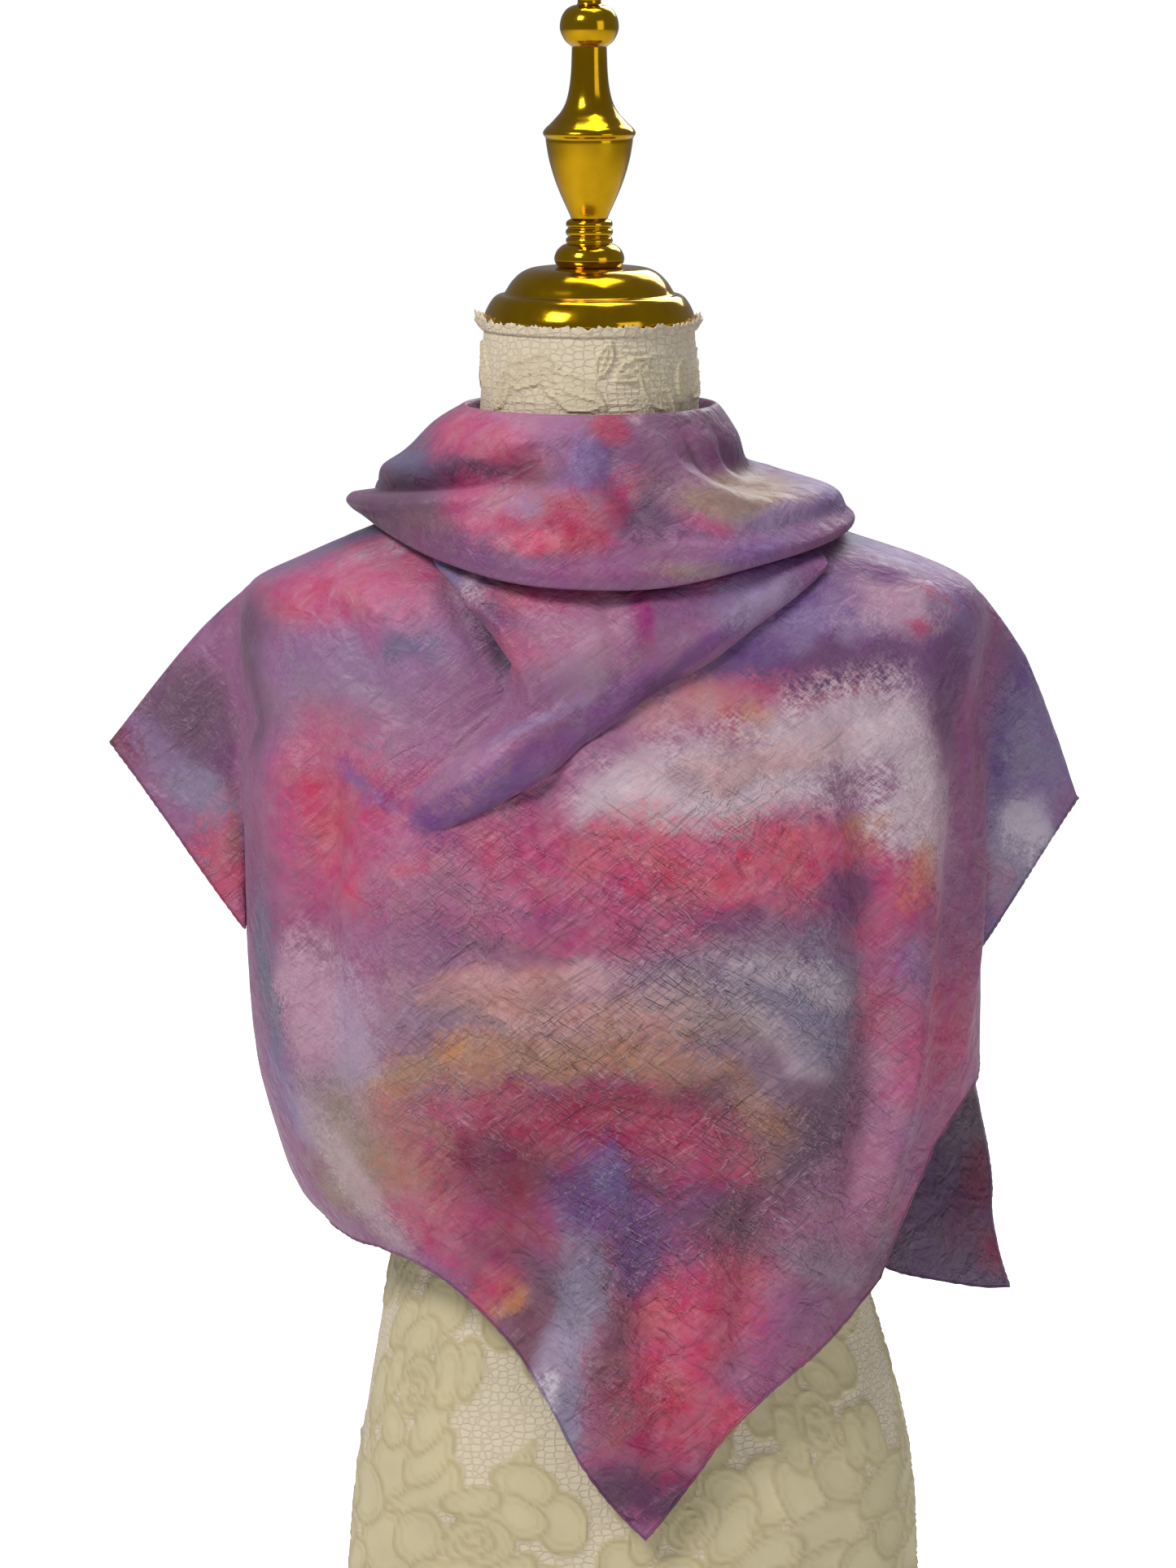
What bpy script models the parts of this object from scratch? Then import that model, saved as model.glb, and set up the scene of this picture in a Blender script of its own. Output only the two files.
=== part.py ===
"""A square silk scarf worn on a limbless dress form with a turned brass finial.

Metres, +Z up. The form stands on its flat base at z = 0, the wearer's front
faces -Y and +X is on the viewer's right. Angles round the form run from the
front centre line towards +X, so the right side is 90 and the back is 180.
"""
import math

import bmesh
import bpy
from mathutils import Vector

# Cloth: wall, and the gaps that keep neighbours apart
WALL = 0.0020
SEAM_GAP = 0.0003
REST_GAP = 0.0009
LAYER_STEP = WALL + 0.0006

# Heights
CAPE_TOP = 0.680
NECK_TOP = 0.777
SHOULDER_FOOT = 0.575

# Neck axis: the form leans a little to the viewer's left
NECK_X = -0.0234

# Facets round the form, and rows down each hanging stretch below its last named level
FORM_STEP_DEG = 7.5
FRONT_ROWS = 8
BACK_ROWS = 6
TAIL_ROWS = 11

# Dress form, one row for each section:
# height, left, right, front, back, roundness (2 is an ellipse, more is squarer)
FORM_ROWS = [
    (0.000, -0.158, 0.158, -0.100, 0.112, 2.30),
    (0.045, -0.158, 0.159, -0.103, 0.117, 2.30),
    (0.090, -0.1555, 0.157, -0.104, 0.118, 2.30),
    (0.148, -0.1505, 0.1535, -0.102, 0.112, 2.30),
    (0.196, -0.1435, 0.144, -0.097, 0.102, 2.30),
    (0.238, -0.1365, 0.132, -0.092, 0.090, 2.30),
    (0.285, -0.129, 0.121, -0.088, 0.081, 2.30),
    (0.340, -0.135, 0.121, -0.092, 0.079, 2.30),
    (0.400, -0.155, 0.137, -0.103, 0.086, 2.30),
    (0.450, -0.171, 0.152, -0.1155, 0.093, 2.30),
    (0.500, -0.185, 0.165, -0.1195, 0.098, 2.30),
    (0.545, -0.198, 0.177, -0.112, 0.102, 2.33),
    (0.575, -0.205, 0.183, -0.106, 0.103, 2.36),
    (0.598, -0.2085, 0.1865, -0.101, 0.1025, 2.38),
    (0.614, -0.2095, 0.1880, -0.097, 0.1010, 2.38),
    (0.626, -0.2085, 0.1870, -0.092, 0.0985, 2.36),
    (0.637, -0.2025, 0.1790, -0.087, 0.0950, 2.33),
    (0.648, -0.1800, 0.1560, -0.081, 0.0900, 2.28),
    (0.659, -0.1550, 0.1230, -0.075, 0.0845, 2.22),
    (0.670, -0.1290, 0.0920, -0.0695, 0.0780, 2.15),
    (0.680, -0.1130, 0.0720, -0.0655, 0.0730, 2.08),
    (0.694, -0.0960, 0.0500, -0.0620, 0.0670, 2.02),
    (0.710, -0.0860, 0.0390, -0.0600, 0.0615, 2.00),
    (0.730, -0.0824, 0.0356, -0.0590, 0.0590, 2.00),
    (0.755, -0.0808, 0.0340, -0.0574, 0.0574, 2.00),
    (0.777, -0.0798, 0.0330, -0.0564, 0.0564, 2.00),
]

# Middle of the cloth where it hangs free of the form, below the shoulders:
# height, left, right, front, back, roundness
DRAPE_ROWS = [
    (0.110, -0.145, 0.150, -0.1165, 0.090, 2.25),
    (0.150, -0.146, 0.151, -0.1155, 0.090, 2.25),
    (0.200, -0.149, 0.153, -0.1145, 0.091, 2.25),
    (0.250, -0.156, 0.158, -0.1155, 0.092, 2.27),
    (0.285, -0.163, 0.168, -0.1165, 0.093, 2.28),
    (0.310, -0.1830, 0.179, -0.1180, 0.094, 2.30),
    (0.348, -0.1965, 0.187, -0.1205, 0.096, 2.30),
    (0.382, -0.2045, 0.1890, -0.1230, 0.098, 2.30),
    (0.440, -0.2090, 0.1890, -0.1260, 0.102, 2.30),
    (0.500, -0.2095, 0.1865, -0.1265, 0.105, 2.30),
    (0.545, -0.2105, 0.1860, -0.1195, 0.1060, 2.33),
]

# Levels shared by the form's rings and the cloth's rows over the shoulders
SHOULDER_LEVELS = [CAPE_TOP, 0.671, 0.662, 0.653, 0.645, 0.637, 0.629, 0.620, 0.608, 0.592,
                   SHOULDER_FOOT]
FORM_LOWER_LEVELS = [0.0, 0.045, 0.090, 0.135, 0.180, 0.225, 0.270, 0.315, 0.360, 0.405, 0.450,
                     0.490, 0.530]
FORM_NECK_LEVELS = [0.688, 0.698, 0.712, 0.732, 0.755, NECK_TOP]
CHEST_LEVELS = [0.556, 0.537, 0.517, 0.496, 0.470]

# Front stretch, hem: angle, height; the point of the square hangs at 2 degrees
FRONT_HEM = [
    (-95.0, 0.3120),
    (-90.0, 0.3040),
    (-75.0, 0.2900),
    (-60.0, 0.2870),
    (-52.5, 0.2815),
    (-45.0, 0.2715),
    (-37.5, 0.2570),
    (-30.0, 0.2375),
    (-22.5, 0.2070),
    (-15.0, 0.1785),
    (-7.5, 0.1580),
    (2.0, 0.1374),
    (7.5, 0.1510),
    (15.0, 0.1710),
    (22.5, 0.1920),
    (30.0, 0.2080),
    (37.5, 0.2215),
    (45.0, 0.2340),
    (52.5, 0.2505),
    (59.5, 0.2710),
    (62.5, 0.3064),
    (67.5, 0.3433),
    (75.0, 0.3620),
    (92.0, 0.3790),
]
FRONT_TIP_ANGLE = 2.0
FRONT_NOTCH_ANGLE = 62.5
FRONT_FROM = -95.0
FRONT_TO = 92.0

# Back stretch, hem: angle, height
BACK_HEM = [
    (92.0, 0.392),
    (112.0, 0.383),
    (135.0, 0.368),
    (160.0, 0.352),
    (182.0, 0.338),
    (205.0, 0.345),
    (228.0, 0.352),
    (248.0, 0.338),
    (265.0, 0.312),
]

# Tail, tucked inside the back's right edge: angle, hem height, flare at the hem
TAIL_TOP = 0.470
TAIL_HEM = [
    (93.6, 0.2436, 0.054),
    (97.5, 0.2405, 0.041),
    (105.0, 0.2410, 0.022),
    (112.5, 0.2450, 0.011),
    (120.0, 0.2610, 0.006),
    (131.0, 0.2790, 0.003),
    (141.0, 0.2960, 0.001),
]
TAIL_FLARE_TOP = 0.372
TAIL_FLARE_CURVE = 1.30

# Shoulder wings, the side corners of the square:
# name, side, ridge height, corner x, y, z, front root height, back root height, bulge
WING_ROWS = [
    ("scarf_wing_left", -1.0, 0.6340, -0.2850, 0.026, 0.5464, 0.4500, 0.470, 0.0040),
    ("scarf_wing_right", 1.0, 0.6300, 0.2435, 0.026, 0.5151, 0.4410, 0.455, 0.0110),
]
WING_FRONT_ANGLE = 87.0
WING_BACK_ANGLE = 109.0
WING_CORNER_SPREAD = 0.008
# The fan of ribs runs between these angles, with how round its root and its edge are
WING_FAN_DEG = (14.0, 166.0)
WING_RIBS = 15
WING_STEPS = 7
WING_ROOT_CURVE = 0.62
WING_EDGE_CURVE = 1.15
WING_BULGE_CURVE = 0.7
WING_BULGE_LEAN = 0.7

# Cowl, one row for each way round the neck: angle, then radius and height
# of its shoulder, its fullest point and its lower lip
COWL_ROWS = [
    (-180.0, 0.084, 0.718, 0.104, 0.690, 0.106, 0.6760),
    (-135.0, 0.088, 0.718, 0.114, 0.691, 0.117, 0.6770),
    (-110.0, 0.093, 0.714, 0.120, 0.687, 0.122, 0.6770),
    (-90.0, 0.097, 0.710, 0.123, 0.684, 0.1225, 0.6755),
    (-65.0, 0.093, 0.710, 0.118, 0.682, 0.1190, 0.6695),
    (-42.0, 0.087, 0.710, 0.112, 0.676, 0.1160, 0.6600),
    (-20.0, 0.084, 0.710, 0.110, 0.672, 0.1150, 0.6520),
    (0.0, 0.083, 0.710, 0.110, 0.670, 0.1155, 0.6495),
    (20.0, 0.084, 0.709, 0.113, 0.670, 0.1200, 0.6505),
    (45.0, 0.085, 0.706, 0.119, 0.676, 0.1300, 0.6595),
    (70.0, 0.085, 0.702, 0.128, 0.683, 0.1400, 0.6670),
    (90.0, 0.087, 0.700, 0.131, 0.685, 0.1420, 0.6715),
    (115.0, 0.086, 0.706, 0.117, 0.688, 0.1290, 0.6760),
    (140.0, 0.085, 0.714, 0.108, 0.690, 0.1150, 0.6770),
]
COWL_TOP = 0.7335
COWL_INNER = 0.0642
COWL_TUCK_LEVELS = (0.668, 0.6745)
COWL_TUCK_RISE = 0.0012
COWL_STEP_DEG = 9.0
# The cowl's turned-in collar: how deep it reaches, and its rounded upper edge
COWL_COLLAR_FOOT = 0.018
COWL_COLLAR_MIDDLE = 0.006
COWL_EDGE = ((0.0022, 0.0), (0.0062, -0.0015))
COWL_SLOPE_OUT = 0.008
COWL_CROWN = 0.001
COWL_FULL_RISE = 0.002
COWL_LIP_RISE = 0.0030
COWL_LIP_UNDER = (-0.0040, -0.0010)
# Pocket fold low on the cowl's left: middle angle, half spread, depth
COWL_POCKET = (-62.0, 46.0, 0.0065)

# Swag under the cowl, right neck to left chest: upper x, z, lower x, z, lift
SWAG_ROWS = [
    (0.0980, 0.6555, 0.1020, 0.6500, 0.0005),
    (0.0800, 0.6570, 0.0883, 0.6400, 0.0045),
    (0.0550, 0.6570, 0.0642, 0.6240, 0.0095),
    (0.0250, 0.6570, 0.0385, 0.6060, 0.0130),
    (-0.0080, 0.6570, 0.0130, 0.5930, 0.0150),
    (-0.0420, 0.6580, -0.0010, 0.5830, 0.0150),
    (-0.0760, 0.6590, -0.0080, 0.5770, 0.0140),
    (-0.1040, 0.6560, -0.0150, 0.5720, 0.0125),
    (-0.0930, 0.6405, -0.0205, 0.5680, 0.0118),
    (-0.0800, 0.6260, -0.0270, 0.5640, 0.0110),
    (-0.0640, 0.6110, -0.0420, 0.5520, 0.0105),
    (-0.0700, 0.5930, -0.0600, 0.5410, 0.0100),
    (-0.0850, 0.5750, -0.0820, 0.5290, 0.0085),
    (-0.1014, 0.5612, -0.1040, 0.5190, 0.0060),
    (-0.1225, 0.5405, -0.1240, 0.5200, 0.0020),
]
SWAG_STEP = WALL + 0.0018
SWAG_STEPS = 9
SWAG_CREST = 1.25
SWAG_CROWN_CURVE = 0.8

# Turned brass, each profile from its foot up: radius, height
FLANGE_PROFILE = [
    (0.0560, 0.0000), (0.0566, 0.0022), (0.0560, 0.0052), (0.0540, 0.0096), (0.0515, 0.0132),
    (0.0490, 0.0150), (0.0462, 0.0156), (0.0448, 0.0172), (0.0420, 0.0216), (0.0375, 0.0262),
    (0.0320, 0.0290), (0.0255, 0.0300), (0.0000, 0.0302),
]
BEAD_PROFILE = [
    (0.0170, 0.0000), (0.0184, 0.0022), (0.0187, 0.0050), (0.0172, 0.0086), (0.0143, 0.0112),
    (0.0122, 0.0122), (0.0126, 0.0136), (0.0122, 0.0150), (0.0114, 0.0158), (0.0124, 0.0172),
    (0.0126, 0.0190), (0.0114, 0.0206), (0.0124, 0.0218), (0.0122, 0.0238), (0.0102, 0.0252),
    (0.0000, 0.0254),
]
VASE_PROFILE = [
    (0.0098, 0.0000), (0.0110, 0.0030), (0.0150, 0.0118), (0.0186, 0.0210), (0.0215, 0.0310),
    (0.0231, 0.0400), (0.0234, 0.0428), (0.0246, 0.0446), (0.0246, 0.0462), (0.0232, 0.0482),
    (0.0210, 0.0502), (0.0182, 0.0532), (0.0150, 0.0570), (0.0125, 0.0620), (0.0108, 0.0690),
    (0.0098, 0.0780), (0.0093, 0.0910), (0.0000, 0.0912),
]
BALL_PROFILE = [
    (0.0096, 0.0000), (0.0130, 0.0030), (0.0153, 0.0076), (0.0157, 0.0112), (0.0148, 0.0156),
    (0.0124, 0.0194), (0.0092, 0.0214), (0.0066, 0.0222), (0.0064, 0.0250), (0.0082, 0.0280),
    (0.0092, 0.0320), (0.0082, 0.0362), (0.0050, 0.0392), (0.0000, 0.0400),
]
TURNED_STEPS = 20

# Colour, roughness, metallic
SILK_PLUM = ((0.34, 0.13, 0.33), 0.45, 0.0)
SILK_ROSE = ((0.58, 0.17, 0.30), 0.45, 0.0)
SILK_VIOLET = ((0.27, 0.20, 0.45), 0.45, 0.0)
FORM_CREAM = ((0.78, 0.71, 0.58), 0.80, 0.0)
BRASS_GOLD = ((0.83, 0.58, 0.09), 0.16, 1.0)


def clear_scene():
    for thing in list(bpy.data.objects):
        bpy.data.objects.remove(thing, do_unlink=True)


def make_material(name, finish):
    colour, roughness, metallic = finish
    material = bpy.data.materials.new(name)
    material.use_nodes = True
    shader = material.node_tree.nodes["Principled BSDF"]
    shader.inputs["Base Color"].default_value = (*colour, 1.0)
    shader.inputs["Roughness"].default_value = roughness
    shader.inputs["Metallic"].default_value = metallic
    return material


def smooth_row(rows, at):
    """The row's other columns at one value of its first, on a smooth curve through all rows."""
    if at <= rows[0][0]:
        return rows[0][1:]
    if at >= rows[-1][0]:
        return rows[-1][1:]
    i = max(k for k in range(len(rows) - 1) if rows[k][0] <= at)
    before = rows[max(i - 1, 0)]
    low, high = rows[i], rows[i + 1]
    after = rows[min(i + 2, len(rows) - 1)]
    span = high[0] - low[0]
    t = (at - low[0]) / span
    values = []
    for k in range(1, len(low)):
        slope_low = (high[k] - before[k]) / (high[0] - before[0]) * span
        slope_high = (after[k] - low[k]) / (after[0] - low[0]) * span
        values.append((2 * t**3 - 3 * t**2 + 1) * low[k] + (t**3 - 2 * t**2 + t) * slope_low
                      + (3 * t**2 - 2 * t**3) * high[k] + (t**3 - t**2) * slope_high)
    return tuple(values)


def section_point(row, angle, height, grow=0.0):
    """A point on a rounded section, grown sideways by a small amount."""
    left, right, front, back, roundness = row
    middle = (left + right) / 2
    half = (right - left) / 2 + grow
    turn = math.radians(angle)
    depth = (-front if math.cos(turn) > 0 else back) + grow
    reach = ((abs(math.sin(turn)) / half) ** roundness
             + (abs(math.cos(turn)) / depth) ** roundness) ** (-1 / roundness)
    return Vector((middle + reach * math.sin(turn), -reach * math.cos(turn), height))


def form_point(angle, height):
    return section_point(smooth_row(FORM_ROWS, height), angle, height)


def outward(surface, angle, height):
    """The direction square to a surface that runs by angle and height."""
    across = surface(angle + 1.0, height) - surface(angle - 1.0, height)
    up = surface(angle, height + 0.002) - surface(angle, height - 0.002)
    return across.cross(up).normalized()


def cape_point(angle, height, grow=0.0):
    """The middle of the cloth: on the form over the shoulders, hanging free below them."""
    on_form = form_point(angle, height)
    on_form += outward(form_point, angle, height) * (WALL / 2 + REST_GAP + grow)
    if height >= SHOULDER_FOOT:
        return on_form
    hanging = section_point(smooth_row(DRAPE_ROWS, height), angle, height, grow)
    drop = min((SHOULDER_FOOT - height) / (SHOULDER_FOOT - DRAPE_ROWS[-1][0]), 1.0)
    return on_form.lerp(hanging, drop * drop * (3 - 2 * drop))


def front_angle(x, height):
    """The angle at which the hanging cloth's front passes a place across, at one height."""
    low = cape_point(-90.0, height)
    high = cape_point(90.0, height)
    left, right = low.x, high.x
    search_low, search_high = -90.0, 90.0
    x = min(max(x, left + 0.001), right - 0.001)
    for _ in range(40):
        middle = (search_low + search_high) / 2
        if cape_point(middle, height).x < x:
            search_low = middle
        else:
            search_high = middle
    return (search_low + search_high) / 2


def angle_steps(start, end, wanted=()):
    """Angles from start to end: the form's facets, and the wanted ones between them."""
    angles = [start, *wanted, end]
    facet = math.ceil(start / FORM_STEP_DEG) * FORM_STEP_DEG
    while facet < end:
        if facet - start > 0.5:
            angles.append(facet)
        facet += FORM_STEP_DEG
    return sorted(angles)


def straight_row(rows, at):
    """The second column of a short table, on straight lines between its rows."""
    for low, high in zip(rows, rows[1:]):
        if at <= high[0]:
            return low[1] + (high[1] - low[1]) * (at - low[0]) / (high[0] - low[0])
    return rows[-1][1]


def add_mesh(name, points, faces, material):
    mesh = bpy.data.meshes.new(name)
    mesh.from_pydata([tuple(p) for p in points], [], faces)
    build = bmesh.new()
    build.from_mesh(mesh)
    bmesh.ops.recalc_face_normals(build, faces=build.faces)
    bmesh.ops.triangulate(build, faces=build.faces)
    build.to_mesh(mesh)
    build.free()
    mesh.shade_smooth()
    mesh.materials.append(material)
    thing = bpy.data.objects.new(name, mesh)
    bpy.context.collection.objects.link(thing)
    return thing


def grid_normals(grid, ring):
    """Outward directions at each point of a grid of the cloth's middle."""
    rows, columns = len(grid), len(grid[0])
    normals = []
    for i in range(rows):
        line = []
        for j in range(columns):
            before = grid[i][j - 1] if ring or j else grid[i][0]
            after = grid[i][(j + 1) % columns] if ring or j < columns - 1 else grid[i][-1]
            above = grid[max(i - 1, 0)][j]
            below = grid[min(i + 1, rows - 1)][j]
            line.append((after - before).cross(above - below).normalized())
        normals.append(line)
    return normals


def cloth_wall(name, grid, material, ring=False, normals=None):
    """A closed wall, half its thickness to each side of a grid of points, top row first."""
    rows, columns = len(grid), len(grid[0])
    normals = normals or grid_normals(grid, ring)
    outer = [grid[i][j] + normals[i][j] * (WALL / 2) for i in range(rows) for j in range(columns)]
    inner = [grid[i][j] - normals[i][j] * (WALL / 2) for i in range(rows) for j in range(columns)]
    points = outer + inner
    inside = rows * columns
    spans = columns if ring else columns - 1
    faces = []
    for i in range(rows - 1):
        for j in range(spans):
            a, b = i * columns + j, i * columns + (j + 1) % columns
            c, d = b + columns, a + columns
            faces.append((a, b, c, d))
            faces.append((inside + d, inside + c, inside + b, inside + a))
    for j in range(spans):
        for i in (0, rows - 1):
            a, b = i * columns + j, i * columns + (j + 1) % columns
            faces.append((a, b, inside + b, inside + a) if i else (b, a, inside + a, inside + b))
    if not ring:
        for i in range(rows - 1):
            for j in (0, columns - 1):
                a, d = i * columns + j, (i + 1) * columns + j
                faces.append((d, a, inside + a, inside + d) if j else (a, d, inside + d, inside + a))
    return add_mesh(name, points, faces, material)


def stacked_solid(name, rings, material):
    """A closed solid through rings of equal counts, lowest first, with flat ends."""
    count = len(rings[0])
    points = [p for ring in rings for p in ring]
    faces = [tuple(range(count))]
    for i in range(len(rings) - 1):
        for j in range(count):
            a, b = i * count + j, i * count + (j + 1) % count
            faces.append((a, b, b + count, a + count))
    faces.append(tuple(range((len(rings) - 1) * count, len(rings) * count)))
    return add_mesh(name, points, faces, material)


def make_form(material):
    rings = []
    turns = int(360 / FORM_STEP_DEG)
    for height in FORM_LOWER_LEVELS + sorted(SHOULDER_LEVELS) + FORM_NECK_LEVELS:
        rings.append([form_point(k * FORM_STEP_DEG, height) for k in range(turns)])
    return stacked_solid("form_torso", rings, material)


def hanging_wall(name, angles, hem_at, upper_levels, count, material):
    """Cloth that lies over the shoulders and hangs to its hem, a column at each angle."""
    points = []
    normals = []
    for angle in angles:
        hem = hem_at(angle)
        last = upper_levels[-1]
        levels = upper_levels + [last + (hem - last) * (k + 1) / count for k in range(count)]
        points.append([cape_point(angle, z) for z in levels])
        normals.append([outward(cape_point, angle, z) for z in levels])
    grid = [list(row) for row in zip(*points)]
    return cloth_wall(name, grid, material, normals=[list(row) for row in zip(*normals)])


def make_front(material):
    angles = angle_steps(FRONT_FROM, FRONT_TO, (FRONT_TIP_ANGLE, FRONT_NOTCH_ANGLE))
    return hanging_wall("scarf_front", angles, lambda a: straight_row(FRONT_HEM, a),
                        SHOULDER_LEVELS + CHEST_LEVELS, FRONT_ROWS, material)


def make_back(material):
    gap = math.degrees(SEAM_GAP / 0.19)
    angles = angle_steps(FRONT_TO + gap, 360.0 + FRONT_FROM - gap)
    return hanging_wall("scarf_back", angles, lambda a: smooth_row(BACK_HEM, a)[0],
                        SHOULDER_LEVELS, BACK_ROWS, material)


def make_tail(material):
    angles = angle_steps(TAIL_HEM[0][0], TAIL_HEM[-1][0])
    columns = []
    for angle in angles:
        hem, flare = smooth_row(TAIL_HEM, angle)
        column = []
        for k in range(TAIL_ROWS + 1):
            height = TAIL_TOP + (hem - TAIL_TOP) * k / TAIL_ROWS
            below = max((TAIL_FLARE_TOP - height) / (TAIL_FLARE_TOP - hem), 0.0)
            column.append(cape_point(angle, height, flare * below**TAIL_FLARE_CURVE - LAYER_STEP))
        columns.append(column)
    return cloth_wall("scarf_tail", [list(row) for row in zip(*columns)], material)


def make_wing(row, material):
    """A corner of the square that stands out over the shoulder like a cap sleeve."""
    name, side, ridge, corner_x, corner_y, corner_z, front_foot, back_foot, bulge = row
    corner = Vector((corner_x, corner_y, corner_z))
    first, last = (math.radians(end) for end in WING_FAN_DEG)
    grid = []
    for k in range(WING_RIBS):
        turn = first + (last - first) * k / (WING_RIBS - 1)
        swing = (1 - math.cos(turn)) / 2
        angle = side * (WING_FRONT_ANGLE + (WING_BACK_ANGLE - WING_FRONT_ANGLE) * swing)
        foot = front_foot + (back_foot - front_foot) * swing
        height = foot + (ridge - foot) * math.sin(turn) ** WING_ROOT_CURVE
        root = cape_point(angle, height) + outward(cape_point, angle, height) * LAYER_STEP
        low = cape_point(angle, foot) + outward(cape_point, angle, foot) * LAYER_STEP
        hem = low.lerp(corner, math.sin(turn) ** WING_EDGE_CURVE)
        line = []
        for m in range(WING_STEPS):
            t = m / (WING_STEPS - 1)
            swell = bulge * math.sin(math.pi * t**WING_BULGE_CURVE) * math.sin(turn)
            point = root.lerp(hem, t) + Vector((side, 0.0, 1.0)) * WING_BULGE_LEAN * swell
            point.y -= WING_CORNER_SPREAD * math.cos(turn) * t
            line.append(point)
        grid.append(line)
    if side < 0:
        grid.reverse()
    return cloth_wall(name, [list(line) for line in zip(*grid)], material)


def cowl_point(radius, height, angle):
    turn = math.radians(angle)
    return Vector((NECK_X + radius * math.sin(turn), -radius * math.cos(turn), height))


def make_cowl(material):
    closed_rows = COWL_ROWS + [(180.0, *COWL_ROWS[0][1:])]
    middle, spread, depth = COWL_POCKET
    columns = []
    for k in range(int(360 / COWL_STEP_DEG)):
        angle = -180.0 + k * COWL_STEP_DEG
        shoulder_r, shoulder_z, full_r, full_z, lip_r, lip_z = smooth_row(closed_rows, angle)
        pocket = depth * max(1 - ((angle - middle) / spread) ** 2, 0.0)
        upper_r = (shoulder_r + COWL_INNER + COWL_SLOPE_OUT) / 2
        upper_z = (shoulder_z + COWL_TOP) / 2 + COWL_CROWN
        side_r = (shoulder_r + full_r) / 2 + COWL_CROWN
        side_z = (shoulder_z + full_z) / 2 + COWL_CROWN
        under_r = (full_r + lip_r) / 2 + COWL_CROWN
        under_z = (full_z + lip_z) / 2 + COWL_CROWN
        tucks = [cape_point(angle, level) + outward(cape_point, angle, level) * LAYER_STEP
                 for level in COWL_TUCK_LEVELS]
        tucks[0] += outward(cape_point, angle, COWL_TUCK_LEVELS[0]) * COWL_TUCK_RISE
        columns.append([
            cowl_point(COWL_INNER, COWL_TOP - COWL_COLLAR_FOOT, angle),
            cowl_point(COWL_INNER, COWL_TOP - COWL_COLLAR_MIDDLE, angle),
            *[cowl_point(COWL_INNER + out, COWL_TOP + rise, angle) for out, rise in COWL_EDGE],
            cowl_point(upper_r, upper_z, angle),
            cowl_point(shoulder_r, shoulder_z, angle),
            cowl_point(side_r, side_z, angle),
            cowl_point(full_r - pocket, full_z + COWL_FULL_RISE, angle),
            cowl_point(under_r, under_z, angle),
            cowl_point(lip_r, lip_z + COWL_LIP_RISE, angle),
            cowl_point(lip_r + COWL_LIP_UNDER[0], lip_z + COWL_LIP_UNDER[1], angle),
            *tucks,
        ])
    return cloth_wall("scarf_cowl", [list(row) for row in zip(*columns)], material, ring=True)


def make_swag(material):
    grid = []
    for upper_x, upper_z, lower_x, lower_z, lift in SWAG_ROWS:
        line = []
        for m in range(SWAG_STEPS):
            t = m / (SWAG_STEPS - 1)
            x = upper_x + (lower_x - upper_x) * t
            height = upper_z + (lower_z - upper_z) * t
            angle = front_angle(x, height)
            crown = lift * math.sin(math.pi * t**SWAG_CREST) ** SWAG_CROWN_CURVE
            line.append(cape_point(angle, height)
                        + outward(cape_point, angle, height) * (SWAG_STEP + crown))
        grid.append(line)
    rows = [list(reversed(line)) for line in zip(*grid)]
    return cloth_wall("scarf_swag", rows, material)


def turned_piece(name, profile, foot, material):
    """A turned piece on the neck's axis, closed at its foot and its top."""
    rings = []
    for radius, rise in profile[:-1]:
        rings.append([Vector((NECK_X + radius * math.cos(k * math.tau / TURNED_STEPS),
                              radius * math.sin(k * math.tau / TURNED_STEPS), foot + rise))
                      for k in range(TURNED_STEPS)])
    return stacked_solid(name, rings, material)


def make_finial(material):
    """Flange, bead, vase and ball, each resting on the one below it."""
    foot = NECK_TOP + SEAM_GAP
    for name, profile in (("finial_flange", FLANGE_PROFILE), ("finial_bead", BEAD_PROFILE),
                          ("finial_vase", VASE_PROFILE), ("finial_ball", BALL_PROFILE)):
        turned_piece(name, profile, foot, material)
        foot += profile[-2][1] + SEAM_GAP


def main():
    clear_scene()
    plum = make_material("silk_plum", SILK_PLUM)
    rose = make_material("silk_rose", SILK_ROSE)
    violet = make_material("silk_violet", SILK_VIOLET)
    cream = make_material("form_cream", FORM_CREAM)
    brass = make_material("brass_gold", BRASS_GOLD)
    make_form(cream)
    make_finial(brass)
    make_front(rose)
    make_back(violet)
    make_tail(plum)
    for row in WING_ROWS:
        make_wing(row, violet)
    make_cowl(plum)
    make_swag(plum)


main()
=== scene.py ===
"""Looks of a square silk scarf worn on a limbless dress form with a turned brass finial.

Metres, +Z up, the wearer's front facing -Y. Angles round the form run from the
front centre line towards +X. The tables of the form, the hanging cloth, the cowl,
the swag and the finial are the construction's own; everything here follows them.
"""
import math

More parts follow.
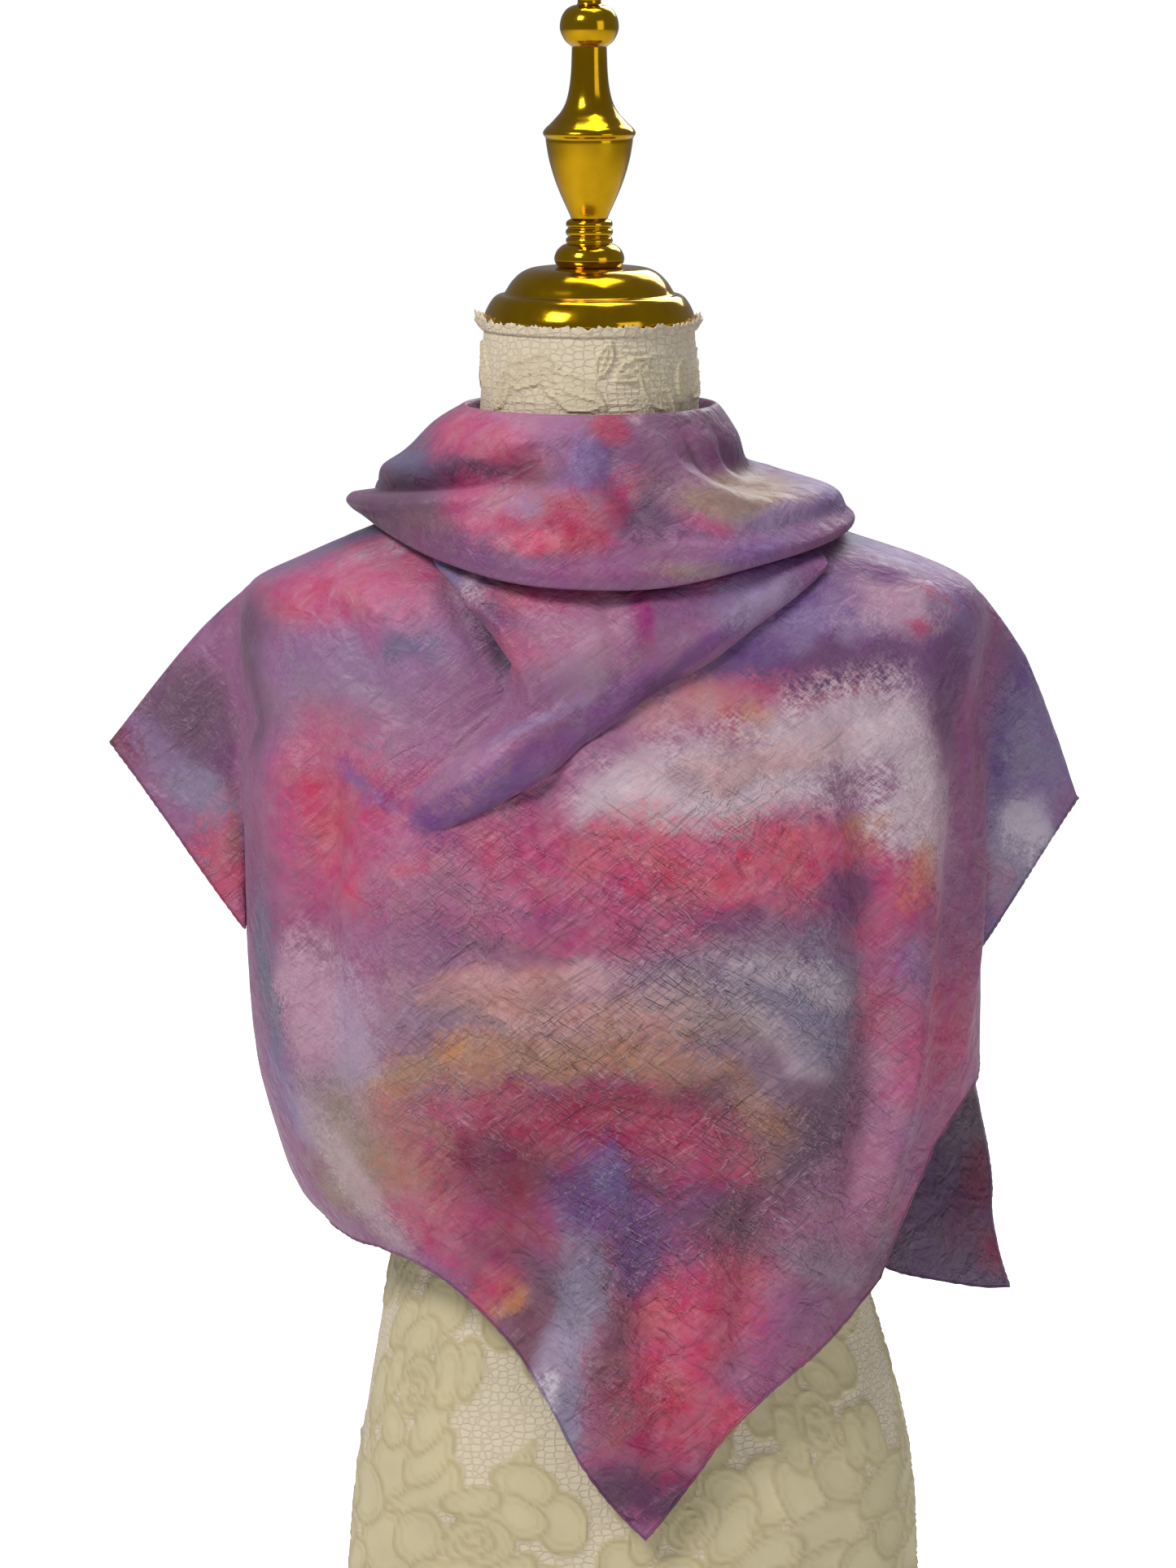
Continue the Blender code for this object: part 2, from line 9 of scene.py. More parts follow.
import bpy
import numpy as np
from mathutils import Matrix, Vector


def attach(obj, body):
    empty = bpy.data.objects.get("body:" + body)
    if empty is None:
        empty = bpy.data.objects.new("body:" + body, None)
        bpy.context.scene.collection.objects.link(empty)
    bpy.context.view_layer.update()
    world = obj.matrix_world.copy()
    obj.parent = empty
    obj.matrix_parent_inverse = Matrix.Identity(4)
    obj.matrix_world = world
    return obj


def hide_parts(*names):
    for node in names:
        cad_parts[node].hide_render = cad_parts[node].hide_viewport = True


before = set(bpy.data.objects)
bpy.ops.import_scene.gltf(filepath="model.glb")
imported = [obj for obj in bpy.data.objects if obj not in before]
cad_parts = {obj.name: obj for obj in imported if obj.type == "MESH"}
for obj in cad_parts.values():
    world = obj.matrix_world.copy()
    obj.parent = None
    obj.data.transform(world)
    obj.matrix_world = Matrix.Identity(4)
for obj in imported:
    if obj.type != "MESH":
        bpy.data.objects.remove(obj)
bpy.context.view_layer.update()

# Cloth: the construction's wall and gaps, and the thin silk drawn in its middle
WALL = 0.0020
SEAM_GAP = 0.0003
SEAM_RADIUS = 0.19
REST_GAP = 0.0009
LAYER_STEP = WALL + 0.0006
SILK_HALF = 0.00035
FORM_CLEAR = 0.0007
HEM_RADIUS = 0.00085
# Painted shade: the rolled hem's dyes are darkened by this factor
HEM_PAINTED_SHADE = 0.66
# Painted shade: the underside's dyes are darkened by this factor
UNDERSIDE_PAINTED_SHADE = 0.92
# The folds of the tables below, as deep as the light needs to show them
FOLD_DEPTH = 2.4
CRINKLE_DEPTH = 1.1
# Sets of fine creases: turn in degrees, lump size in mm, strength, seed
CRINKLE_SETS = [(38, 9.0, 0.55, 11), (-30, 11.0, 0.5, 12), (72, 7.0, 0.3, 13), (8, 15.0, 0.5, 14)]
# How much longer than wide their lumps are, how far they wind, and how sharp their ridges are
CRINKLE_STRETCH = 4.2
CRINKLE_WIND = 7.0
CRINKLE_SHARP = 2.4
# Shifts that fray the edges of the dye patches: lump size and reach in mm, seed
FEATHER_SETS = [(46.0, 11.0, 1), (17.0, 6.0, 3), (7.5, 3.4, 5)]
# Smooth random values come from a cube of this many cells, entered this far from its corner
NOISE_CELLS = 32
NOISE_START = 50.0
# How crumpled the finish of each stretch looks, from 0 to 1, and so how strongly the painted
# highlights and painted shade along its creases show; the front and back have their creases'
# own strength, divided by this
CRUMPLE = {"tail": 0.5, "wing": 0.35, "cowl": 0.08, "swag": 0.12}
SWAG_CRUMPLE_AT_CHEST = 0.2
CRUMPLE_SCALE = 1.5
# The hem's stitches: the length of one, and how far they and chance swell it
HEM_SIDES = 7
HEM_STITCH = 0.0042
HEM_BEAD = 0.22
HEM_WOBBLE = 0.18

# How finely the pieces are stepped
FRONT_STEP_DEG = 0.80
FRONT_ROWS = 196
BACK_STEP_DEG = 1.1
BACK_ROWS = 150
TAIL_COLUMNS = 70
TAIL_ROWS = 110
WING_RIBS = 150
WING_STEPS = 60
WING_SKIRT_STEPS = 26
COWL_COLUMNS = 330
COWL_SPANS = (4, 5, 5, 10, 16, 18, 22, 24, 20, 8, 8, 6)
SWAG_RIBS = 190
SWAG_STEPS = 130
SWAG_LEVELS = 60
COVER_COLUMNS = 372
FRAY_COLUMNS = 300
FRAY_ROWS = 6
TURNED_STEPS = 96
# Row from which the sides of the front and the tail have a free edge; -1 is the lowest row only
FRONT_FREE_ROW = 120
TAIL_FREE_ROW = 50
LOWEST_ROW = -1

CAPE_TOP = 0.680
NECK_TOP = 0.777
SHOULDER_FOOT = 0.575
NECK_X = -0.0234

# Dress form, one row for each section:
# height, left, right, front, back, roundness (2 is an ellipse, more is squarer)
FORM_ROWS = [
    (0.000, -0.158, 0.158, -0.100, 0.112, 2.30),
    (0.045, -0.158, 0.159, -0.103, 0.117, 2.30),
    (0.090, -0.1555, 0.157, -0.104, 0.118, 2.30),
    (0.148, -0.1505, 0.1535, -0.102, 0.112, 2.30),
    (0.196, -0.1435, 0.144, -0.097, 0.102, 2.30),
    (0.238, -0.1365, 0.132, -0.092, 0.090, 2.30),
    (0.285, -0.129, 0.121, -0.088, 0.081, 2.30),
    (0.340, -0.135, 0.121, -0.092, 0.079, 2.30),
    (0.400, -0.155, 0.137, -0.103, 0.086, 2.30),
    (0.450, -0.171, 0.152, -0.1155, 0.093, 2.30),
    (0.500, -0.185, 0.165, -0.1195, 0.098, 2.30),
    (0.545, -0.198, 0.177, -0.112, 0.102, 2.33),
    (0.575, -0.205, 0.183, -0.106, 0.103, 2.36),
    (0.598, -0.2085, 0.1865, -0.101, 0.1025, 2.38),
    (0.614, -0.2095, 0.1880, -0.097, 0.1010, 2.38),
    (0.626, -0.2085, 0.1870, -0.092, 0.0985, 2.36),
    (0.637, -0.2025, 0.1790, -0.087, 0.0950, 2.33),
    (0.648, -0.1800, 0.1560, -0.081, 0.0900, 2.28),
    (0.659, -0.1550, 0.1230, -0.075, 0.0845, 2.22),
    (0.670, -0.1290, 0.0920, -0.0695, 0.0780, 2.15),
    (0.680, -0.1130, 0.0720, -0.0655, 0.0730, 2.08),
    (0.694, -0.0960, 0.0500, -0.0620, 0.0670, 2.02),
    (0.710, -0.0860, 0.0390, -0.0600, 0.0615, 2.00),
    (0.730, -0.0824, 0.0356, -0.0590, 0.0590, 2.00),
    (0.755, -0.0808, 0.0340, -0.0574, 0.0574, 2.00),
    (0.777, -0.0798, 0.0330, -0.0564, 0.0564, 2.00),
]

# Middle of the cloth where it hangs free of the form, below the shoulders
DRAPE_ROWS = [
    (0.110, -0.145, 0.150, -0.1165, 0.090, 2.25),
    (0.150, -0.146, 0.151, -0.1155, 0.090, 2.25),
    (0.200, -0.149, 0.153, -0.1145, 0.091, 2.25),
    (0.250, -0.156, 0.158, -0.1155, 0.092, 2.27),
    (0.285, -0.163, 0.168, -0.1165, 0.093, 2.28),
    (0.310, -0.1830, 0.179, -0.1180, 0.094, 2.30),
    (0.348, -0.1965, 0.187, -0.1205, 0.096, 2.30),
    (0.382, -0.2045, 0.1890, -0.1230, 0.098, 2.30),
    (0.440, -0.2090, 0.1890, -0.1260, 0.102, 2.30),
    (0.500, -0.2095, 0.1865, -0.1265, 0.105, 2.30),
    (0.545, -0.2105, 0.1860, -0.1195, 0.1060, 2.33),
]

# Front stretch, hem: angle, height; the point of the square hangs at 2 degrees
FRONT_HEM = [
    (-95.0, 0.3120),
    (-90.0, 0.3040),
    (-75.0, 0.2900),
    (-60.0, 0.2870),
    (-52.5, 0.2815),
    (-45.0, 0.2715),
    (-37.5, 0.2570),
    (-30.0, 0.2375),
    (-22.5, 0.2070),
    (-15.0, 0.1785),
    (-7.5, 0.1580),
    (2.0, 0.1374),
    (7.5, 0.1510),
    (15.0, 0.1710),
    (22.5, 0.1920),
    (30.0, 0.2080),
    (37.5, 0.2215),
    (45.0, 0.2340),
    (52.5, 0.2505),
    (59.5, 0.2710),
    (62.5, 0.3064),
    (67.5, 0.3433),
    (75.0, 0.3620),
    (92.0, 0.3790),
]
# Rows of the hem table at which it turns a corner
FRONT_HEM_CORNERS = (0, 11, 19, 21, 23)
FRONT_FROM = -95.0
FRONT_TO = 92.0
# Angles at which a column of the front has to lie, at the hem's sharp turns
FRONT_KNOTS = (FRONT_FROM, 2.0, 59.5, 62.5, FRONT_TO)

# Back stretch, hem: angle, height
BACK_HEM = [
    (92.0, 0.392),
    (112.0, 0.383),
    (135.0, 0.368),
    (160.0, 0.352),
    (182.0, 0.338),
    (205.0, 0.345),
    (228.0, 0.352),
    (248.0, 0.338),
    (265.0, 0.312),
]

# Tail: angle, hem height, flare at the hem
TAIL_TOP = 0.470
TAIL_HEM = [
    (93.6, 0.2436, 0.054),
    (97.5, 0.2405, 0.041),
    (105.0, 0.2410, 0.022),
    (112.5, 0.2450, 0.011),
    (120.0, 0.2610, 0.006),
    (131.0, 0.2790, 0.003),
    (141.0, 0.2960, 0.001),
]
TAIL_FLARE_TOP = 0.372
TAIL_FLARE_CURVE = 1.30
# The tail's slow wave: its height and its number over the width
TAIL_WAVE = 0.0016
TAIL_WAVES = 1.6
# How far the cloth over the tail may sink toward it, and how far past it that holds
TAIL_ROOM = 0.0010
TAIL_MARGIN_DEG = 3
TAIL_MARGIN = 0.004
# The hem stands out in places: over what height, how far, and in lumps of how many mm
HEM_FLARE_HEIGHT = 0.030
HEM_FLARE = 0.0011
HEM_FLARE_LUMPS = 16.0

# Shoulder wings:
# name, side, ridge height, corner x, y, z, front root height, back root height, bulge
WING_ROWS = [
    ("left", -1.0, 0.6340, -0.2850, 0.026, 0.5464, 0.4500, 0.470, 0.0040),
    ("right", 1.0, 0.6300, 0.2435, 0.026, 0.5151, 0.4410, 0.455, 0.0110),
]
WING_FRONT_ANGLE = 87.0
WING_BACK_ANGLE = 109.0
WING_CORNER_SPREAD = 0.008
WING_FAN_DEG = (0.6, 179.4)
WING_LIFT = 0.0016
# The rows that lie on the shoulder: how far they reach round it and up it, and how
# many rows to each side of the wing's root are eased into a smooth bend
WING_SKIRT_DEG = 16.0
WING_SKIRT_RISE = 0.020
WING_BLEND = 20
WING_SMOOTHINGS = 160
# Powers that shape the root's arch, the reach of the hem and the swell of the middle
WING_ARCH = 0.62
WING_REACH = 1.15
WING_SWELL = 0.7
WING_FOLD_SWELL = 0.8
WING_SINK = 0.0006
# Shares of the way to the corner over which the shoulder's folds and dye give way
WING_FOLDS_END = 0.22
WING_DYE_BLEND = (0.02, 0.30)
# Angles between which the front's dyes run into the back's
SIDE_BLEND = (84.0, 104.0)

# Cowl: angle, then radius and height of its shoulder, its fullest point and its lower lip
COWL_ROWS = [
    (-180.0, 0.084, 0.718, 0.104, 0.690, 0.106, 0.6760),
    (-135.0, 0.088, 0.718, 0.114, 0.691, 0.117, 0.6770),
    (-110.0, 0.093, 0.714, 0.120, 0.687, 0.122, 0.6770),
    (-90.0, 0.097, 0.710, 0.123, 0.684, 0.1225, 0.6755),
    (-65.0, 0.093, 0.710, 0.118, 0.682, 0.1190, 0.6695),
    (-42.0, 0.087, 0.710, 0.112, 0.676, 0.1160, 0.6600),
    (-20.0, 0.084, 0.710, 0.110, 0.672, 0.1150, 0.6520),
    (0.0, 0.083, 0.710, 0.110, 0.670, 0.1155, 0.6495),
    (20.0, 0.084, 0.709, 0.113, 0.670, 0.1200, 0.6505),
    (45.0, 0.085, 0.706, 0.119, 0.676, 0.1300, 0.6595),
    (70.0, 0.085, 0.702, 0.128, 0.683, 0.1400, 0.6670),
    (90.0, 0.087, 0.700, 0.131, 0.685, 0.1420, 0.6715),
    (115.0, 0.086, 0.706, 0.117, 0.688, 0.1290, 0.6760),
    (140.0, 0.085, 0.714, 0.108, 0.690, 0.1150, 0.6770),
]
COWL_TOP = 0.7335
COWL_INNER = 0.0642
COWL_TUCK_LEVELS = (0.668, 0.6745)
COWL_TUCK_RISE = 0.0012
COWL_MM_PER_DEG = 2.0
# The pocket fold: its path by angle and height in mm; the place above the path, half width
# and reach of the upper roll; the half width and reach of the groove; the place below the
# path, half width and reach of the lower roll; and how sharp the lower roll's edge is, in mm
POCKET_PATH = [(-108, 684), (-90, 686), (-66, 690), (-48, 693.5), (-36, 696.5), (-26, 702),
               (-17, 710)]
POCKET_ROLL = (15.0, 6.0, 0.0040)
POCKET_GROOVE = (7.5, 0.0150)
POCKET_LOWER = (3.5, 6.5, 0.0075)
POCKET_STEP = 0.35
POCKET_FADE = (24.0, 15.0)
COWL_FOLD_DEPTH = 1.5
# Rings between which folds come in below the cowl's rim and go out at its lower lip
COWL_FOLDS_IN = (2.6, 4.0)
COWL_FOLDS_OUT = (10.0, 9.2)
# From front to back over these places, the cowl's front dyes give way to its back ones
COWL_SIDES = (-0.015, 0.02)

# Swag under the cowl: upper x, z, lower x, z, lift
SWAG_ROWS = [
    (0.0980, 0.6555, 0.1020, 0.6500, 0.0005),
    (0.0800, 0.6570, 0.0883, 0.6400, 0.0045),
    (0.0550, 0.6570, 0.0642, 0.6240, 0.0095),
    (0.0250, 0.6570, 0.0385, 0.6060, 0.0130),
    (-0.0080, 0.6570, 0.0130, 0.5930, 0.0150),
    (-0.0420, 0.6580, -0.0010, 0.5830, 0.0150),
    (-0.0760, 0.6590, -0.0080, 0.5770, 0.0140),
    (-0.1040, 0.6560, -0.0150, 0.5720, 0.0125),
    (-0.0930, 0.6405, -0.0205, 0.5680, 0.0118),
    (-0.0800, 0.6260, -0.0270, 0.5640, 0.0110),
    (-0.0640, 0.6110, -0.0420, 0.5520, 0.0105),
    (-0.0700, 0.5930, -0.0600, 0.5410, 0.0100),
    (-0.0850, 0.5750, -0.0820, 0.5290, 0.0085),
    (-0.1014, 0.5612, -0.1040, 0.5190, 0.0060),
    (-0.1225, 0.5405, -0.1240, 0.5200, 0.0020),
]
SWAG_STEP = WALL + 0.0018
# Rows between which its upper left edge runs out into the chest, and its rounded lower edge
SWAG_MERGE_FROM = 9.6
SWAG_MERGE_FULL = 11.2
SWAG_UNDER = 0.045
SWAG_SUNK = 0.0008

# Turned brass, each profile from its foot up: radius, height
FLANGE_PROFILE = [
    (0.0560, 0.0000), (0.0566, 0.0022), (0.0560, 0.0052), (0.0540, 0.0096), (0.0515, 0.0132),
    (0.0490, 0.0150), (0.0462, 0.0156), (0.0448, 0.0172), (0.0420, 0.0216), (0.0375, 0.0262),
    (0.0320, 0.0290), (0.0255, 0.0300), (0.0000, 0.0302),
]
BEAD_PROFILE = [
    (0.0170, 0.0000), (0.0184, 0.0022), (0.0187, 0.0050), (0.0172, 0.0086), (0.0143, 0.0112),
    (0.0122, 0.0122), (0.0126, 0.0136), (0.0122, 0.0150), (0.0114, 0.0158), (0.0124, 0.0172),
    (0.0126, 0.0190), (0.0114, 0.0206), (0.0124, 0.0218), (0.0122, 0.0238), (0.0102, 0.0252),
    (0.0000, 0.0254),
]
VASE_PROFILE = [
    (0.0098, 0.0000), (0.0110, 0.0030), (0.0150, 0.0118), (0.0186, 0.0210), (0.0215, 0.0310),
    (0.0231, 0.0400), (0.0234, 0.0428), (0.0246, 0.0446), (0.0246, 0.0462), (0.0232, 0.0482),
    (0.0210, 0.0502), (0.0182, 0.0532), (0.0150, 0.0570), (0.0125, 0.0620), (0.0108, 0.0690),
    (0.0098, 0.0780), (0.0093, 0.0910), (0.0000, 0.0912),
]
BALL_PROFILE = [
    (0.0096, 0.0000), (0.0130, 0.0030), (0.0153, 0.0076), (0.0157, 0.0112), (0.0148, 0.0156),
    (0.0124, 0.0194), (0.0092, 0.0214), (0.0066, 0.0222), (0.0064, 0.0250), (0.0082, 0.0280),
    (0.0092, 0.0320), (0.0082, 0.0362), (0.0050, 0.0392), (0.0000, 0.0400),
]

# Dyes, as they look in plain light: red, green, blue from 0 to 255
DYES = {
    "mauve": (138, 84, 124),
    "dim_mauve": (124, 74, 114),
    "rose_mauve": (160, 74, 116),
    "rose": (172, 66, 106),
    "coral": (188, 66, 98),
    "crimson": (150, 34, 72),
    "deep_crimson": (108, 28, 60),
    "magenta": (146, 40, 110),
    "pink_mauve": (162, 104, 136),
    "plum": (102, 54, 100),
    "dark_plum": (66, 34, 68),
    "dusky": (98, 68, 92),
    "violet": (98, 64, 124),
    "blue_violet": (104, 88, 144),
    "lilac": (132, 108, 152),
    "slate": (84, 84, 116),
    "blue": (76, 90, 146),
    "grey_blue": (126, 118, 144),
    "pale_lilac": (162, 146, 172),
    "pale_grey": (188, 166, 176),
    "pale_pink": (186, 146, 166),
    "white": (206, 192, 206),
    "olive": (142, 120, 100),
    "tan": (160, 112, 92),
    "peach": (186, 132, 128),
    "gold": (184, 120, 62),
    "brown": (112, 68, 80),
    "grey_mauve": (138, 110, 132),
    "purple": (106, 50, 118),
}
# Each colour is worked out twice, with the patches a little smaller and a little larger and
# their edges frayed in another way; the finish picks between the two, thread by thread
DYE_LAYERS = [(0.98, 0), (1.28, 200)]
DYE_EDGE = (0.52, 1.34)

# Dye patches, some of them painted shade where so marked, laid one over the other from the top of
# each table down, in millimetres:
# across, height, half width, half height, turn in degrees, dye, strength
FRONT_DYES = [
    (90, 630, 110, 44, 0, "violet", 0.70),
    (-120, 505, 96, 60, 0, "rose_mauve", 0.95),
    (-130, 588, 70, 26, 0, "mauve", 0.80),
    (50, 492, 130, 44, 0, "rose_mauve", 0.95),
    (150, 405, 56, 110, 0, "rose_mauve", 0.85),
    (-60, 444, 110, 24, 4, "pink_mauve", 0.80),
    (-130, 396, 66, 44, 0, "grey_mauve", 0.85),
    (84, 420, 76, 56, 0, "grey_mauve", 0.90),
    (-20, 336, 96, 52, 0, "crimson", 0.75),
    (90, 300, 52, 62, 0, "brown", 0.55),
    (30, 232, 66, 80, 0, "rose", 0.85),
    (-160, 672, 46, 20, 0, "slate", 0.80),
    (-120, 664, 26, 12, 0, "pale_grey", 0.60),
    (-150, 641, 52, 17, -4, "rose", 0.90),
    (-205, 612, 20, 26, 0, "dusky", 0.85),
    (-140, 598, 60, 22, 0, "lilac", 0.45),
    (-145, 578, 50, 26, 0, "grey_mauve", 0.60),
    (-118, 613, 16, 4, -20, "slate", 0.70),
    # Painted shade in the hollow under the swag's left edge
    (-68, 620, 12, 18, 10, "dark_plum", 0.80),
    (-95, 575, 34, 24, 0, "mauve", 0.70),
    (-165, 553, 26, 28, 0, "rose", 0.75),
    (-146, 510, 50, 34, 0, "rose", 0.90),
    (-170, 520, 10, 22, 10, "coral", 0.70),
    (-200, 470, 20, 46, 0, "plum", 0.60),
    (-96, 496, 44, 26, 0, "pink_mauve", 0.70),
    (-140, 540, 14, 5, -30, "blue_violet", 0.70),
    (-60, 520, 40, 14, 15, "rose", 0.70),
    (-128, 456, 38, 22, 0, "mauve", 0.80),
    (-150, 420, 44, 32, 0, "pink_mauve", 0.80),
    (-176, 424, 18, 30, 10, "pale_pink", 0.60),
    (-120, 418, 30, 12, 20, "grey_mauve", 0.60),
    (-172, 360, 22, 22, 0, "pale_lilac", 0.70),
    (-190, 380, 14, 30, 0, "blue_violet", 0.50),
    (-146, 344, 30, 36, 15, "olive", 0.85),
    (-112, 330, 20, 16, 0, "tan", 0.70),
    (-158, 318, 26, 12, 0, "olive", 0.70),
    (-92, 436, 42, 18, 8, "grey_mauve", 0.60),
    (-50, 454, 52, 15, 0, "mauve", 0.80),
    (-48, 424, 46, 13, 0, "olive", 0.55),
    (-118, 384, 34, 13, 32, "tan", 0.85),
    (-78, 397, 36, 12, 12, "tan", 0.85),
    (-32, 402, 40, 11, 0, "tan", 0.80),
    (12, 396, 34, 12, -14, "tan", 0.75),
    (46, 380, 26, 14, -40, "brown", 0.65),
    (-96, 402, 9, 5, 20, "gold", 0.90),
    (-131, 380, 5, 12, 25, "gold", 0.85),
    (-126, 368, 6, 8, 0, "rose", 0.60),
    (40, 446, 42, 18, -8, "grey_mauve", 0.80),
    (78, 416, 40, 28, -30, "grey_blue", 0.80),
    (20, 428, 40, 12, -12, "pale_grey", 0.45),
    (98, 438, 14, 20, 0, "pale_lilac", 0.60),
    (72, 386, 34, 22, -45, "brown", 0.75),
    (96, 352, 30, 30, -20, "dusky", 0.80),
    (62, 352, 18, 30, -20, "tan", 0.50),
    (-25, 374, 48, 13, 0, "rose", 0.85),
    (-58, 360, 58, 26, 8, "crimson", 0.90),
    (-98, 352, 28, 22, 20, "rose", 0.80),
    (18, 358, 40, 28, -20, "crimson", 0.75),
    (40, 340, 26, 20, -10, "rose", 0.70),
    (-68, 342, 34, 20, 0, "deep_crimson", 0.85),
    (-100, 306, 34, 18, -18, "rose", 0.90),
    (-74, 286, 20, 22, -30, "deep_crimson", 0.60),
    (-78, 274, 14, 14, 0, "coral", 0.70),
    (-18, 326, 28, 26, 0, "violet", 0.85),
    (-12, 338, 10, 12, 0, "blue_violet", 0.70),
    (28, 306, 34, 26, 10, "plum", 0.85),
    (8, 290, 20, 20, 0, "violet", 0.80),
    (56, 300, 16, 24, 10, "brown", 0.60),
    (-54, 252, 20, 28, -14, "brown", 0.80),
    (-46, 276, 14, 16, 0, "dusky", 0.70),
    (-70, 261, 6, 10, -20, "gold", 0.85),
    (-28, 268, 16, 38, -6, "grey_blue", 0.90),
    (-36, 226, 14, 28, -10, "pale_lilac", 0.75),
    (-34, 196, 11, 26, -12, "grey_blue", 0.85),
    (-47, 214, 5, 8, -20, "white", 0.90),
    (-6, 228, 13, 42, -4, "brown", 0.80),
    (40, 256, 34, 32, 10, "coral", 0.95),
    (32, 212, 34, 36, -20, "coral", 0.95),
    (16, 196, 16, 22, -20, "crimson", 0.60),
    (66, 228, 20, 20, 0, "mauve", 0.70),
    (4, 164, 30, 16, 0, "dark_plum", 0.80),
    (16, 178, 12, 10, 0, "crimson", 0.60),
    (98, 286, 26, 18, -20, "grey_mauve", 0.85),
    (84, 256, 22, 16, -20, "mauve", 0.80),
    (112, 318, 28, 26, 0, "pink_mauve", 0.80),
    (128, 290, 14, 18, 0, "dusky", 0.60),
    (130, 366, 22, 34, 0, "pink_mauve", 0.75),
    (148, 350, 16, 30, 0, "mauve", 0.70),
    (150, 666, 56, 22, 0, "blue_violet", 0.90),
    (118, 652, 32, 16, 0, "plum", 0.75),
    (72, 634, 40, 20, 10, "violet", 0.80),
    (100, 622, 34, 10, 12, "lilac", 0.80),
    (142, 630, 28, 17, 0, "pale_pink", 0.75),
    (172, 622, 14, 18, 0, "lilac", 0.70),
    (146, 622, 6, 5, 0, "rose", 0.90),
    (160, 636, 5, 4, 0, "rose", 0.80),
    (94, 600, 60, 15, 12, "plum", 0.90),
    (60, 604, 26, 10, 16, "violet", 0.70),
    (50, 579, 50, 11, 10, "rose", 0.75),
    (14, 568, 30, 10, 16, "pink_mauve", 0.80),
    (110, 590, 24, 7, 10, "rose", 0.50),
    (170, 588, 20, 32, 0, "plum", 0.90),
    (182, 556, 14, 26, 0, "magenta", 0.45),
    (46, 544, 66, 22, 8, "pale_grey", 0.95),
    (0, 536, 30, 20, 10, "pale_grey", 0.90),
    (98, 572, 36, 16, 10, "pale_grey", 0.85),
    (136, 562, 24, 32, 0, "pale_grey", 0.90),
    (146, 524, 22, 26, 0, "pale_grey", 0.85),
    (164, 494, 14, 24, 0, "pale_pink", 0.75),
    (22, 548, 12, 5, 0, "grey_blue", 0.85),
    (64, 552, 14, 5, 10, "grey_blue", 0.55),
    (60, 576, 12, 5, 10, "gold", 0.45),
    (-34, 504, 52, 17, 0, "rose", 0.85),
    (30, 505, 62, 22, -4, "coral", 0.95),
    (92, 502, 46, 24, -12, "coral", 0.90),
    (122, 518, 14, 8, -20, "gold", 0.65),
    (130, 482, 30, 26, -20, "rose", 0.90),
    (-16, 474, 56, 18, 0, "rose", 0.75),
    (50, 474, 16, 9, 0, "plum", 0.65),
    (-44, 480, 16, 7, 0, "violet", 0.35),
    (114, 484, 17, 16, 0, "plum", 0.85),
    (100, 462, 24, 16, 0, "plum", 0.55),
    (146, 446, 16, 24, 0, "violet", 0.85),
    (146, 430, 26, 44, 0, "rose", 0.60),
    (170, 420, 26, 44, 0, "rose", 0.90),
    (172, 466, 18, 40, 0, "mauve", 0.70),
    (148, 446, 10, 16, 0, "lilac", 0.60),
    (124, 420, 12, 22, 0, "rose", 0.60),
    (150, 496, 8, 14, 0, "gold", 0.50),
    (-20, 449, 14, 8, 0, "pale_pink", 0.80),
    (150, 384, 14, 14, 0, "rose", 0.60),
    (96, 428, 20, 34, -30, "grey_blue", 0.60),
    (60, 402, 30, 22, -30, "grey_mauve", 0.75),
    (112, 404, 9, 40, -10, "dusky", 0.45),
    (30, 420, 44, 14, -10, "olive", 0.45),
    (98, 372, 22, 26, -20, "dusky", 0.60),
    (-66, 440, 48, 12, 10, "peach", 0.80),
    (-24, 424, 50, 11, -4, "peach", 0.75),
    (-40, 406, 60, 9, 4, "tan", 0.70),
    (20, 398, 34, 8, -12, "tan", 0.70),
    (64, 374, 24, 8, -44, "tan", 0.60),
    (-124, 356, 16, 36, 10, "tan", 0.55),
    (-150, 330, 14, 34, 30, "pale_grey", 0.50),
    (-150, 404, 16, 40, 6, "pale_lilac", 0.60),
    (84, 440, 34, 8, -14, "pale_grey", 0.55),
    (74, 410, 30, 6, -40, "pale_grey", 0.40),
    (58, 556, 60, 8, 10, "peach", 0.50),
    (28, 578, 34, 8, 14, "peach", 0.55),
    # Painted shade: the dark triangle in the hollow under the swag's left edge
    (-84, 640, 16, 16, -40, "grey_mauve", 0.60),
    (-76, 632, 13, 26, 30, "dark_plum", 0.90),
    (-62, 613, 9, 9, 0, "slate", 0.80),
    (-195, 432, 9, 40, 0, "slate", 0.85),
    (-198, 572, 10, 20, 0, "dusky", 0.70),
    (-122, 533, 7, 6, 0, "magenta", 0.90),
    (-104, 522, 16, 4, 12, "purple", 0.70),
    (-78, 458, 26, 5, 10, "brown", 0.50),
    (-118, 500, 12, 5, 20, "coral", 0.60),
    (-150, 492, 7, 12, 0, "coral", 0.60),
    (-104, 356, 6, 9, 20, "olive", 0.60),
]

